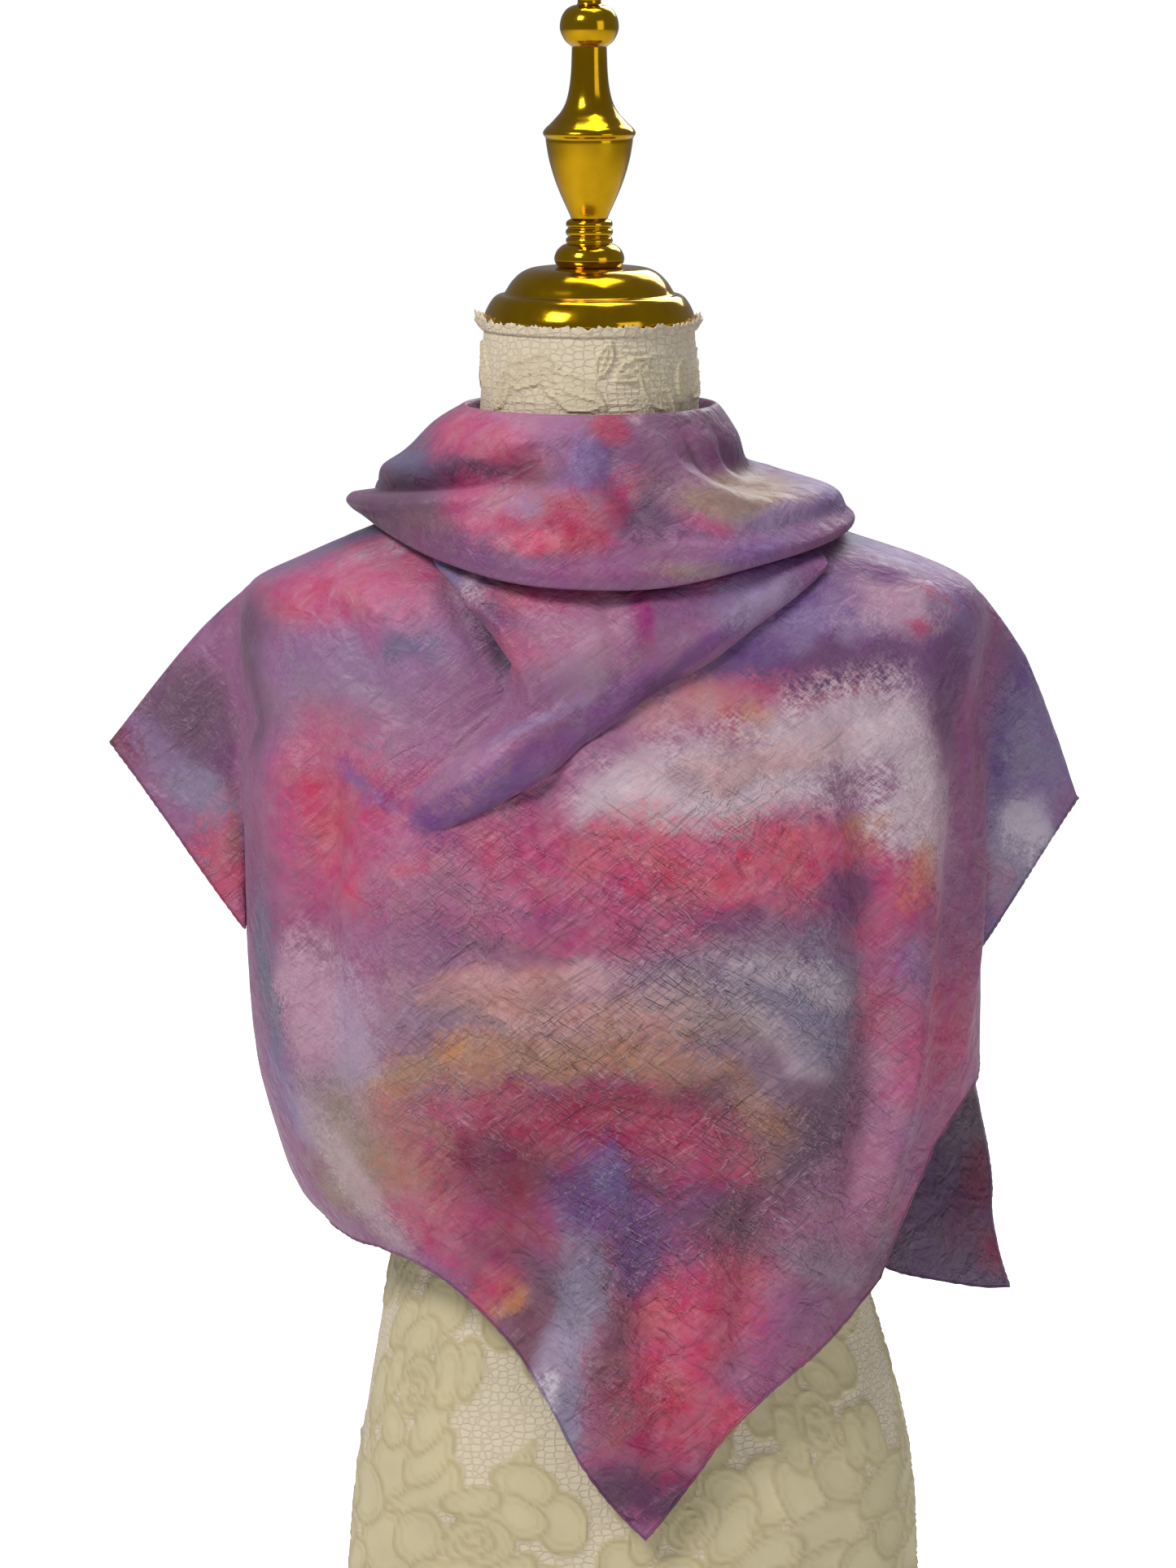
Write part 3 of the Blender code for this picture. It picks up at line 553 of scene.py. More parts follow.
# Behind, as seen from behind: across is still +X
BACK_DYES = [
    (120, 668, 60, 20, 0, "slate", 0.80),
    (-100, 670, 60, 18, 0, "blue_violet", 0.70),
    (0, 648, 50, 18, 0, "mauve", 0.80),
    (150, 628, 40, 22, 0, "plum", 0.80),
    (-150, 630, 44, 22, 8, "rose", 0.85),
    (70, 622, 50, 18, -8, "rose", 0.85),
    (-50, 612, 46, 18, 0, "lilac", 0.85),
    (10, 596, 40, 14, 10, "pale_grey", 0.80),
    (-170, 580, 30, 34, 0, "dusky", 0.85),
    (-110, 572, 40, 24, 0, "pink_mauve", 0.80),
    (130, 580, 50, 22, -8, "violet", 0.80),
    (60, 566, 46, 20, -6, "plum", 0.70),
    (-30, 560, 50, 18, 6, "rose", 0.85),
    (-140, 530, 44, 24, 0, "lilac", 0.80),
    (160, 536, 30, 28, 0, "pale_lilac", 0.85),
    (100, 526, 42, 18, 8, "pale_grey", 0.80),
    (30, 522, 48, 20, 0, "coral", 0.85),
    (-60, 514, 44, 20, 8, "coral", 0.80),
    (-10, 488, 60, 15, 0, "tan", 0.80),
    (-90, 478, 36, 15, 24, "tan", 0.75),
    (74, 476, 36, 14, -24, "tan", 0.70),
    (-54, 484, 9, 6, 0, "gold", 0.80),
    (-170, 480, 30, 36, 0, "violet", 0.80),
    (150, 480, 36, 30, 0, "rose", 0.75),
    (0, 456, 62, 22, 0, "crimson", 0.85),
    (-64, 446, 34, 20, 20, "rose", 0.85),
    (66, 444, 34, 20, -20, "rose", 0.80),
    (0, 430, 30, 18, 0, "deep_crimson", 0.75),
    (-120, 440, 34, 24, 0, "grey_mauve", 0.80),
    (124, 436, 34, 24, 0, "brown", 0.75),
    (-170, 420, 30, 30, 0, "pale_pink", 0.70),
    (170, 420, 26, 30, 0, "blue_violet", 0.80),
    (6, 402, 40, 18, 0, "violet", 0.85),
    (-80, 402, 40, 18, 0, "plum", 0.75),
    (90, 400, 40, 16, 0, "coral", 0.80),
    (-30, 378, 30, 14, 0, "grey_blue", 0.80),
    (40, 370, 34, 14, 0, "pale_lilac", 0.75),
    (-130, 376, 44, 18, 0, "mauve", 0.80),
    (0, 350, 40, 10, 0, "brown", 0.75),
    (-110, 350, 40, 12, 0, "rose", 0.80),
]

# On the cowl's front half
COWL_FRONT_DYES = [
    (-123, 712, 24, 18, 0, "slate", 0.95),
    (-96, 716, 12, 16, 0, "plum", 0.45),
    (-78, 722, 30, 14, 12, "rose", 0.95),
    (-56, 736, 28, 8, 0, "pink_mauve", 0.85),
    (-64, 712, 26, 9, 10, "crimson", 0.70),
    # Painted shade in the groove above the pocket's lower roll
    (-78, 704, 28, 6, 0, "dark_plum", 0.85),
    (-56, 704, 14, 9, 20, "deep_crimson", 0.80),
    (-34, 728, 18, 12, 0, "mauve", 0.80),
    (-24, 710, 14, 14, 20, "violet", 0.80),
    (-22, 716, 8, 9, 20, "lilac", 0.60),
    (-12, 737, 8, 4, 0, "white", 0.85),
    (2, 737, 4, 5, 0, "pale_pink", 0.85),
    (-9, 728, 11, 8, -30, "crimson", 0.85),
    (34, 732, 26, 14, 0, "dusky", 0.75),
    (24, 712, 24, 12, 30, "mauve", 0.70),
    (56, 722, 12, 16, 0, "plum", 0.65),
    (66, 716, 10, 14, 0, "slate", 0.75),
    (18, 700, 16, 14, -30, "dusky", 0.80),
    # Painted shade in a broad hollow of the cowl
    (10, 684, 18, 14, -20, "dark_plum", 0.65),
    (30, 694, 16, 9, 0, "mauve", 0.60),
    (-4, 694, 14, 8, 30, "crimson", 0.70),
    (-76, 688, 24, 14, 0, "rose", 0.85),
    (-54, 692, 22, 9, 0, "pink_mauve", 0.70),
    (-40, 682, 28, 14, 0, "crimson", 0.95),
    (-28, 672, 22, 9, 0, "crimson", 0.90),
    (-52, 672, 16, 6, 0, "coral", 0.70),
    (-56, 690, 7, 6, 0, "lilac", 0.60),
    (-126, 684, 28, 15, 0, "dusky", 0.95),
    (-104, 676, 16, 9, 0, "brown", 0.70),
    (-90, 666, 26, 8, -12, "plum", 0.60),
    (-16, 658, 34, 7, 0, "magenta", 0.45),
    (22, 664, 44, 9, 6, "mauve", 0.85),
    (52, 688, 28, 10, -10, "olive", 0.80),
    (76, 694, 20, 7, -16, "olive", 0.75),
    (44, 678, 15, 5, -8, "rose", 0.75),
    (98, 700, 24, 11, -12, "blue_violet", 0.90),
    (82, 680, 26, 7, 10, "lilac", 0.75),
    (108, 686, 14, 10, 0, "violet", 0.80),
    (32, 656, 18, 4, 0, "olive", 0.60),
    (64, 664, 24, 6, 10, "violet", 0.70),
]

COWL_BACK_DYES = [
    (-110, 700, 34, 22, 0, "slate", 0.80),
    (-60, 716, 30, 18, 0, "plum", 0.80),
    (-20, 700, 30, 16, 0, "rose", 0.85),
    (-60, 688, 26, 12, 0, "mauve", 0.80),
    (20, 718, 30, 16, 0, "lilac", 0.80),
    (30, 696, 26, 12, 0, "crimson", 0.75),
    (0, 684, 30, 8, 0, "tan", 0.60),
    (70, 706, 26, 20, 0, "violet", 0.85),
    (100, 692, 20, 14, 0, "blue_violet", 0.80),
    (60, 684, 24, 7, 0, "pink_mauve", 0.80),
]

SWAG_DYES = [
    (60, 650, 60, 16, 20, "violet", 0.55),
    (-100, 657, 10, 5, 0, "gold", 0.85),
    (-88, 652, 12, 7, -30, "blue", 0.90),
    (-82, 655, 5, 4, 0, "pale_pink", 0.80),
    (-78, 643, 11, 6, -20, "pale_grey", 0.85),
    (-68, 648, 8, 5, -40, "slate", 0.80),
    (-52, 652, 20, 7, 0, "mauve", 0.70),
    (-32, 640, 38, 10, 4, "rose", 0.95),
    (-14, 645, 28, 7, 0, "magenta", 0.60),
    (40, 643, 30, 9, 12, "magenta", 0.80),
    (34, 646, 18, 6, 0, "rose", 0.70),
    (-32, 616, 32, 17, 12, "pink_mauve", 0.90),
    # Painted shade at the swag's edge over the hollow
    (-76, 617, 15, 18, -20, "plum", 0.75),
    (-62, 606, 16, 14, 0, "rose", 0.60),
    (3, 626, 6, 16, 6, "magenta", 0.90),
    (76, 650, 32, 11, 24, "purple", 0.85),
    (50, 626, 30, 11, 28, "lilac", 0.75),
    (66, 632, 20, 5, 32, "pale_lilac", 0.40),
    (24, 612, 20, 10, 30, "mauve", 0.75),
    (-34, 594, 22, 14, 10, "grey_mauve", 0.80),
    (-8, 584, 30, 11, 30, "purple", 0.75),
    (-60, 582, 28, 18, 20, "mauve", 0.85),
    (-66, 566, 40, 5, 28, "lilac", 0.60),
    (-84, 551, 20, 8, 28, "pink_mauve", 0.60),
    (-52, 553, 34, 8, 30, "purple", 0.60),
    (-84, 538, 30, 6, 24, "violet", 0.70),
    # Painted shade under the twist of the swag's lower edge; the purple after it is partly dye and
    # partly painted shade
    (16, 592, 24, 5, 38, "dark_plum", 0.60),
    (36, 606, 20, 5, 34, "purple", 0.70),
    (-120, 535, 8, 7, 0, "magenta", 0.90),
    (-100, 528, 18, 6, 10, "purple", 0.80),
    (-110, 545, 12, 8, 0, "mauve", 0.60),
]

WING_DYES = {
    "left": [
        (-240, 566, 32, 30, 0, "dusky", 0.85),
        (-214, 612, 20, 14, 0, "plum", 0.70),
        (-232, 600, 16, 10, -40, "mauve", 0.70),
        (-240, 528, 20, 16, 0, "grey_blue", 0.75),
        (-262, 548, 16, 12, -30, "lilac", 0.50),
        (-282, 546, 10, 9, 0, "deep_crimson", 0.80),
        (-222, 492, 16, 26, -20, "coral", 0.80),
        (-214, 520, 9, 32, 0, "brown", 0.75),
        (-208, 466, 14, 14, 0, "rose", 0.80),
        (-224, 545, 14, 10, 20, "plum", 0.75),
    ],
    "right": [
        (200, 606, 18, 14, 0, "plum", 0.70),
        (206, 580, 20, 20, 0, "violet", 0.70),
        (220, 556, 18, 22, 20, "lilac", 0.80),
        (194, 536, 9, 26, 0, "violet", 0.70),
        (216, 536, 12, 10, 0, "grey_blue", 0.70),
        (230, 520, 14, 14, 0, "lilac", 0.75),
        (206, 484, 20, 26, 0, "pale_lilac", 0.90),
        (214, 500, 12, 12, 0, "white", 0.70),
        (192, 470, 8, 14, 0, "rose", 0.45),
        (238, 512, 8, 8, 0, "mauve", 0.60),
    ],
}

TAIL_DYES = [
    (182, 420, 30, 30, 0, "mauve", 0.70),
    (186, 366, 16, 22, 0, "white", 0.85),
    (196, 336, 10, 22, 0, "pale_lilac", 0.75),
    (168, 334, 18, 24, 0, "pale_lilac", 0.70),
    (190, 306, 14, 18, 0, "rose_mauve", 0.85),
    (156, 300, 16, 44, 0, "lilac", 0.80),
    (176, 280, 16, 18, 0, "mauve", 0.70),
    (204, 262, 14, 16, 0, "rose", 0.70),
]

# Front folds, each a soft ridge (+) or trough (-), in millimetres:
# half width, height, then the points that it follows: across, height
FRONT_FOLDS = [
    (17, 2.6, (-196, 600), (-188, 540), (-186, 470), (-180, 400), (-172, 345)),
    (12, -2.6, (-172, 590), (-166, 530), (-166, 470), (-160, 410), (-156, 360)),
    (20, 2.4, (-140, 640), (-122, 590), (-112, 540), (-118, 480), (-126, 420), (-132, 330)),
    (13, -2.2, (-104, 505), (-92, 470), (-88, 430), (-100, 390)),
    (12, 1.8, (-74, 520), (-60, 480), (-58, 440), (-66, 405)),
    (16, -2.2, (-64, 560), (-30, 520), (10, 480), (40, 440)),
    (18, 2.4, (-30, 560), (16, 524), (60, 482), (90, 440), (106, 400)),
    (11, -2.4, (116, 620), (112, 570), (122, 520), (124, 470), (120, 420), (118, 380)),
    (16, 2.8, (152, 640), (150, 590), (158, 540), (154, 480), (146, 420), (136, 350), (130, 300)),
    (9, -3.2, (134, 440), (130, 400), (122, 350), (112, 300)),
    (8, 3.0, (150, 430), (146, 390), (136, 345), (124, 290), (116, 272)),
    (10, -2.4, (172, 600), (172, 540), (168, 480), (164, 430), (160, 386)),
    (9, 2.6, (184, 560), (184, 500), (182, 440), (178, 394)),
    (11, 1.7, (-56, 402), (-20, 392), (20, 392), (58, 402), (88, 424)),
    (9, -1.7, (-70, 384), (-30, 372), (14, 372), (52, 380), (78, 396)),
    (10, 1.6, (-96, 372), (-60, 352), (-16, 346), (30, 350), (62, 360)),
    (9, -1.5, (-84, 346), (-50, 328), (-14, 320), (22, 324)),
    (13, -2.8, (-78, 330), (-62, 290), (-46, 244), (-34, 200), (-24, 172)),
    (12, 2.8, (-40, 340), (-30, 296), (-18, 246), (-8, 196), (2, 152)),
    (10, -2.4, (2, 336), (6, 290), (10, 244), (14, 200), (16, 172)),
    (12, 2.6, (38, 340), (36, 296), (34, 250), (32, 214), (30, 186)),
    (10, -2.4, (70, 340), (64, 300), (58, 262), (54, 232)),
    (11, 2.2, (96, 340), (90, 300), (82, 262), (78, 244)),
    (10, 2.0, (-130, 366), (-116, 336), (-98, 306), (-84, 286)),
    (9, -2.0, (-112, 372), (-96, 340), (-80, 312), (-68, 288)),
    (10, 2.2, (-120, 560), (-140, 520), (-150, 476), (-150, 430)),
    (8, -1.6, (-150, 560), (-160, 520), (-150, 480)),
    (9, -1.8, (60, 612), (90, 596), (122, 584), (150, 580)),
    (8, 1.6, (64, 594), (92, 578), (124, 566), (152, 560)),
    (8, -1.5, (40, 570), (76, 552), (110, 540), (140, 532)),
    (8, 1.4, (-20, 540), (24, 536), (64, 520), (96, 500)),
    (7, 1.4, (-150, 656), (-130, 630), (-104, 608), (-84, 590)),
    (11, -2.6, (-96, 656), (-84, 636), (-72, 614), (-66, 600)),
    (9, 1.6, (-112, 650), (-100, 628), (-88, 604), (-82, 590)),
    (8, -1.6, (-168, 640), (-150, 612), (-126, 586), (-104, 566)),
    (7, 1.3, (-120, 452), (-90, 440), (-60, 440), (-34, 446)),
    (7, -1.3, (-126, 434), (-96, 420), (-64, 420), (-40, 426)),
    (7, 1.3, (20, 466), (52, 452), (82, 430), (98, 402)),
    (7, -1.3, (44, 470), (72, 454), (98, 436), (110, 410)),
]

# Folds behind: half width, height, then angle, height pairs
BACK_FOLDS = [
    (16, 3.0, (108, 600), (110, 520), (112, 450), (114, 386)),
    (12, -3.2, (120, 610), (124, 540), (126, 460), (128, 374)),
    (14, 3.2, (134, 600), (138, 530), (141, 450), (142, 366)),
    (10, -2.8, (147, 560), (151, 500), (153, 430), (153, 358)),
    (14, 2.6, (160, 640), (163, 560), (166, 470), (166, 352)),
    (10, -2.6, (172, 600), (174, 540), (177, 460), (178, 342)),
    (12, 3.0, (184, 560), (187, 500), (190, 430), (191, 342)),
    (11, -2.8, (196, 630), (198, 550), (202, 470), (204, 346)),
    (13, 2.6, (212, 600), (214, 530), (216, 450), (217, 350)),
    (10, -2.6, (224, 580), (227, 510), (229, 440), (230, 352)),
    (13, 3.0, (238, 600), (240, 520), (242, 440), (243, 344)),
    (10, -2.6, (250, 560), (252, 500), (253, 430), (254, 330)),
    (8, 1.8, (128, 640), (150, 600), (172, 578), (196, 568)),
    (8, -1.8, (130, 616), (152, 580), (174, 558), (198, 550)),
    (7, 1.4, (170, 660), (190, 630), (214, 612), (240, 606)),
    (7, 1.4, (140, 450), (158, 432), (176, 428)),
    (7, -1.4, (196, 470), (212, 450), (230, 444)),
]

# Folds of the cowl: half width, height, then angle, height pairs
COWL_FOLDS = [
    (6.0, 2.6, (-60, 716), (-42, 718), (-26, 721), (-12, 719)),
    (6.0, -3.2, (0, 722), (8, 706), (14, 690), (26, 676)),
    (7.0, 3.0, (-12, 722), (-6, 708), (2, 690), (12, 674)),
    (6.0, 2.8, (24, 728), (30, 712), (36, 698), (52, 684)),
    (5.0, -3.0, (40, 726), (44, 710), (52, 698), (68, 690)),
    (6.0, -3.4, (60, 722), (64, 708), (74, 700), (92, 697)),
    (6.0, 2.6, (44, 690), (60, 688), (80, 690), (100, 692)),
    (4.5, -2.0, (20, 672), (44, 674), (66, 680), (84, 684)),
    (5.0, -3.6, (104, 716), (112, 704), (126, 696), (146, 692)),
    (6.0, 3.0, (112, 722), (130, 712), (150, 704), (172, 700)),
    (5.0, -4.0, (126, 728), (148, 718), (170, 710), (196, 706), (214, 704)),
    (6.0, 2.6, (170, 722), (190, 718), (212, 712), (232, 704)),
    (5.0, -4.4, (190, 697), (214, 696), (236, 698), (256, 701)),
    (5.0, 2.4, (176, 690), (204, 686), (230, 688), (250, 690)),
]

# Folds of the swag: half width, height, then across, height pairs
SWAG_FOLDS = [
    (5.0, -2.4, (84, 648), (50, 634), (22, 618), (-2, 602), (-22, 590)),
    (5.0, 2.0, (70, 650), (38, 642), (8, 630), (-20, 612), (-44, 594)),
    (5.0, -2.2, (-66, 634), (-48, 618), (-34, 600), (-22, 584)),
    (5.5, 2.4, (-84, 632), (-66, 614), (-56, 594), (-52, 572)),
    (4.5, -2.0, (-20, 644), (-14, 626), (-8, 606), (-8, 590)),
    (5.0, 2.2, (-18, 590), (-46, 570), (-78, 550), (-108, 534)),
    (4.0, -2.0, (-30, 594), (-56, 578), (-84, 562), (-108, 548)),
    (4.0, 1.4, (12, 640), (2, 622), (-4, 606)),
]

# Folds of the wings, from the shoulder to the corner:
# half width across the fan in degrees, height in mm, middle of the fan in degrees
WING_FOLDS = {
    "left": [(9, -3.0, 38), (10, 2.6, 60), (8, -2.2, 82), (11, 2.4, 104), (9, -2.8, 130)],
    "right": [(10, -2.8, 34), (9, 2.2, 56), (10, -2.6, 84), (9, 2.4, 108), (9, -2.4, 134)],
}

# The form's cover: the radius, in mm, by which places round the body and the neck are told;
# how far petals, cords, the neck's gathers and the net stand up; where the lace shows below
# the scarf, and above it on the neck
BODY_RADIUS = 137.0
NECK_RADIUS = 57.0
PETAL_RISE = 0.0007
CORD_RISE = 0.0014
RIPPLE_RISE = 0.0008
NET_RISE = 0.00012
LACE_ENDS = (0.385, 0.40)
NECK_STARTS = (0.722, 0.73)
NECK_TINT = 0.7
# Heights of the cover's rows: up to each height in steps of this size
COVER_KNOTS = [(0.0, 0.0), (0.40, 0.0021), (0.715, 0.013), (NECK_TOP, 0.0012)]
# The frayed edge: its radius, how deep it starts, half its thickness; then its tufts, each
# with its angle, half width in degrees and strength
FRAY_RADIUS = 0.0574
FRAY_DEPTH = 0.0030
FRAY_HALF = 0.0003
FRAY_TUFTS = [(268, 26, 1.0), (88, 16, 0.8)]
# A rose of the form's cover: rings of petals, each ring's count, reach, half length, how
# wide for its length and turn; then the crescents of its heart: reach, size, turn
ROSE_STRETCH = 1.12
ROSE_SQUASH = 0.74
ROSE_RINGS = [
    (6, 0.96, 0.50, 0.66, 0.0),
    (5, 0.58, 0.44, 0.62, 24.0),
]
ROSE_CRESCENTS = [
    (0.06, 0.40, 20.0),
    (0.05, 0.31, 160.0),
    (0.03, 0.22, 300.0),
    (0.01, 0.12, 80.0),
]

# Roses of the form's cover: angle, height in mm, radius in mm, turn in degrees
BODY_ROSES = [
    (-44, 128, 52, 8),
    (-62, 206, 44, 70),
    (-18, 64, 50, 160),
    (16, 140, 50, 24),
    (52, 190, 46, 110),
    (48, 92, 52, 200),
    (14, 12, 46, 90),
    (-58, 40, 48, 330),
    (82, 128, 50, 20),
    (74, 28, 48, 150),
    (100, 206, 46, 80),
    (112, 60, 50, 340),
    (-96, 118, 50, 20),
    (-92, 24, 46, 60),
    (-122, 190, 48, 150),
    (-134, 78, 52, 10),
    (-166, 148, 50, 60),
    (-160, 28, 48, 130),
    (138, 140, 50, 220),
    (150, 44, 48, 300),
    (170, 222, 46, 0),
    (136, 250, 44, 40),
    (-150, 250, 46, 90),
    (-92, 292, 40, 120),
    (60, 288, 40, 30),
    (-20, 262, 44, 200),
    (22, 232, 40, 70),
    (100, 318, 38, 260),
    (-124, 340, 38, 70),
    (-40, 330, 38, 150),
    (176, 330, 40, 20),
]

# Leaves of the cover: angle, height in mm, half length and half width in mm, turn in degrees
BODY_LEAVES = [
    (-34, 168, 22, 8, 60),
    (-74, 156, 24, 9, 110),
    (2, 168, 20, 8, 20),
    (0, 82, 24, 9, 150),
    (38, 148, 22, 8, 80),
    (40, 80, 22, 9, 30),
    (-48, 66, 24, 9, 10),
    (-24, 62, 18, 7, 100),
    (14, 240, 20, 8, 60),
    (-34, 240, 20, 8, 130),
    (80, 164, 22, 8, 100),
    (86, 70, 24, 9, 160),
    (-90, 136, 22, 8, 40),
    (-118, 118, 24, 9, 20),
    (-124, 196, 22, 8, 120),
    (-158, 92, 24, 9, 70),
    (-156, 184, 22, 8, 150),
    (126, 74, 24, 9, 120),
    (128, 160, 22, 8, 40),
    (160, 44, 22, 8, 20),
    (160, 210, 24, 9, 110),
    (-176, 150, 22, 8, 60),
    (108, 180, 22, 8, 10),
    (-80, 30, 20, 8, 80),
    (56, 20, 18, 7, 60),
    (104, 24, 20, 8, 100),
    (66, 240, 22, 8, 20),
    (-70, 262, 20, 8, 60),
    (144, 256, 20, 8, 20),
    (-154, 282, 20, 8, 100),
]

# Leaves on the neck
NECK_LEAVES = [
    (-34, 755, 20, 9, 14),
    (-10, 746, 22, 10, -28),
    (-52, 744, 13, 7, 60),
    (24, 757, 13, 6, 30),
    (38, 744, 18, 8, 130),
    (58, 750, 14, 6, 80),
    (8, 762, 11, 5, 70),
    (84, 748, 20, 9, 20),
    (112, 752, 18, 8, -40),
    (140, 746, 20, 9, 30),
    (168, 754, 20, 9, -20),
    (-160, 746, 19, 8, 40),
    (-134, 753, 20, 9, -30),
    (-106, 747, 19, 8, 20),
    (-78, 755, 17, 8, -50),
]

# Stage: half the floor's width, and how much whiter it and the air look than they shine
STAGE_HALF = 9.0
STAGE_GLOW = 0.80
AIR_GLOW = 0.26
AIR_SEEN = 1.0

# Lights: name, place, size, power in watts, tint
LIGHT_TARGET = Vector((0.0, 0.0, 0.5))
LIGHTS = [
    ("key", (-1.6, -1.8, 2.7), (0.9, 0.9), 72, (1.0, 0.985, 0.96)),
    ("fill", (2.2, -2.2, 1.1), (1.4, 2.0), 12, (0.96, 0.98, 1.0)),
    ("top", (0.1, 0.2, 2.8), (1.4, 1.0), 22, (1.0, 1.0, 1.0)),
    ("back", (0.9, 2.3, 2.2), (1.4, 1.4), 34, (1.0, 1.0, 1.0)),
]

# Camera: the photograph's height in pixels, and where the camera looks and from how far
PICTURE_HEIGHT = 1927
CAMERA_TARGET = Vector((-0.0241, 0.0, 0.527))
CAMERA_DISTANCE = 3.2
CAMERA_DROP_DEG = 9.0
PIXELS_PER_METRE = 2265.0
SENSOR_HEIGHT = 36.0


def smooth_columns(rows, at):
    """The rows' other columns at many values of their first, on a smooth curve through all rows."""
    table = np.array(rows, float)
    first = table[:, 0]
    at = np.clip(np.asarray(at, float), first[0], first[-1])
    i = np.clip(np.searchsorted(first, at, side="right") - 1, 0, len(first) - 2)
    before = np.maximum(i - 1, 0)
    after = np.minimum(i + 2, len(first) - 1)
    span = (first[i + 1] - first[i])[..., None]
    t = (at - first[i])[..., None] / span
    low, high = table[i, 1:], table[i + 1, 1:]
    slope_low = (high - table[before, 1:]) / (first[i + 1] - first[before])[..., None] * span
    slope_high = (table[after, 1:] - low) / (first[after] - first[i])[..., None] * span
    return ((2 * t**3 - 3 * t**2 + 1) * low + (t**3 - 2 * t**2 + t) * slope_low
            + (3 * t**2 - 2 * t**3) * high + (t**3 - t**2) * slope_high)


def section_points(rows, angle, height, grow=0.0):
    """Points on the rounded sections of a table, grown sideways by a small amount."""
    angle, height, grow = np.broadcast_arrays(angle, height, grow)
    left, right, front, back, roundness = np.moveaxis(smooth_columns(rows, height), -1, 0)
    half = (right - left) / 2 + grow
    turn = np.radians(angle)
    depth = np.where(np.cos(turn) > 0, -front, back) + grow
    reach = ((np.abs(np.sin(turn)) / half) ** roundness
             + (np.abs(np.cos(turn)) / depth) ** roundness) ** (-1 / roundness)
    return np.stack([(left + right) / 2 + reach * np.sin(turn), -reach * np.cos(turn),
                     height + 0.0 * reach], -1)


def form_points(angle, height):
    """Points on the form's surface."""
    return section_points(FORM_ROWS, angle, height)


def outward(surface, angle, height):
    """Directions square to a surface that runs by angle and height."""
    angle, height = np.broadcast_arrays(angle, height)
    across = surface(angle + 1.0, height) - surface(angle - 1.0, height)
    up = surface(angle, height + 0.002) - surface(angle, height - 0.002)
    return unit(np.cross(across, up))


def unit(vectors):
    """The same directions, each one long."""
    return vectors / np.linalg.norm(vectors, axis=-1, keepdims=True)


def cape_points(angle, height, grow=0.0):
    """The middle of the cloth: on the form over the shoulders, hanging free below them."""
    angle, height, grow = np.broadcast_arrays(angle, height, grow)
    rest = (WALL / 2 + REST_GAP + grow)[..., None]
    on_form = form_points(angle, height) + outward(form_points, angle, height) * rest
    hanging = section_points(DRAPE_ROWS, angle, height, grow)
    drop = np.clip((SHOULDER_FOOT - height) / (SHOULDER_FOOT - DRAPE_ROWS[-1][0]), 0.0, 1.0)
    share = (drop * drop * (3 - 2 * drop))[..., None]
    return on_form * (1 - share) + hanging * share


def smooth_step(low, high, value):
    """Runs from 0 at low to 1 at high, level at both ends."""
    t = np.clip((value - low) / (high - low), 0.0, 1.0)
    return t * t * (3 - 2 * t)


def turned(right, above, angle):
    """Places told along and across a direction at an angle in radians."""
    return (right * math.cos(angle) + above * math.sin(angle),
            above * math.cos(angle) - right * math.sin(angle))


def soft_noise(points, size, seed):
    """Smooth random values from -1 to 1 at 3-D points, in lumps of one size."""
    lattice = np.random.default_rng(seed).uniform(-1, 1, (NOISE_CELLS,) * 3)
    cell = points / size + NOISE_START
    base = np.floor(cell).astype(int)
    part = cell - base
    part = part * part * (3 - 2 * part)
    total = np.zeros(points.shape[:-1])
    for corner in np.ndindex(2, 2, 2):
        weight = np.ones_like(total)
        for axis in range(3):
            weight = weight * (part[..., axis] if corner[axis] else 1 - part[..., axis])
        index = tuple((base[..., axis] + corner[axis]) % NOISE_CELLS for axis in range(3))
        total += weight * lattice[index]
    return total


def path_distance(across, up, path):
    """Distance to a bent line, and how far along it the nearest place lies, from 0 to 1."""
    path = np.array(path, float)
    lengths = np.linalg.norm(np.diff(path, axis=0), axis=1)
    total = lengths.sum()
    best = np.full(np.shape(across), np.inf)
    along = np.zeros(np.shape(across))
    run = 0.0
    for (x0, z0), (x1, z1), length in zip(path[:-1], path[1:], lengths):
        t = np.clip(((across - x0) * (x1 - x0) + (up - z0) * (z1 - z0)) / length**2, 0.0, 1.0)
        gap = np.hypot(across - x0 - t * (x1 - x0), up - z0 - t * (z1 - z0))
        nearer = gap < best
        best = np.where(nearer, gap, best)
        along = np.where(nearer, (run + t * length) / total, along)
        run += length
    return best, along


def bent_path(points, count=6):
    """A smooth line through a few points."""
    rows = [(k, *p) for k, p in enumerate(points)]
    steps = np.linspace(0, len(points) - 1, (len(points) - 1) * count + 1)
    return smooth_columns(rows, steps)


def fold_field(across, up, folds, place=None):
    """Heights of listed folds in metres, at places in millimetres."""
    total = np.zeros(np.shape(across))
    for half_width, height, *points in folds:
        path = bent_path([place(*p) for p in points] if place else points, 3)
        gap, along = path_distance(across, up, path)
        ends = np.sin(np.pi * np.clip(along, 0.04, 0.96)) ** 0.7
        width = half_width * (0.75 + 0.5 * ends)
        total += height / 1000 * ends * np.exp(-((gap / width) ** 2))
    return total


def crinkles(points, across, up, strength):
    """Fine creases of crumpled silk: long thin ridges that run on two slants."""
    total = np.zeros(np.shape(across))
    for turn, size, amount, seed in CRINKLE_SETS:
        along, over = turned(across, up, math.radians(turn))
        bend = soft_noise(points * 1000, 26.0, seed + 40) * CRINKLE_WIND
        lumps = np.stack([along / CRINKLE_STRETCH, over + bend, np.full_like(over, seed)], -1)
        ridge = 1 - np.abs(soft_noise(lumps, size, seed)) * CRINKLE_SHARP
        patchy = smooth_step(-0.35, 0.5, soft_noise(points * 1000, 38.0, seed + 20))
        total += np.clip(ridge, 0, 1) ** 2 * amount * patchy
    return total * strength * CRINKLE_DEPTH / 1000


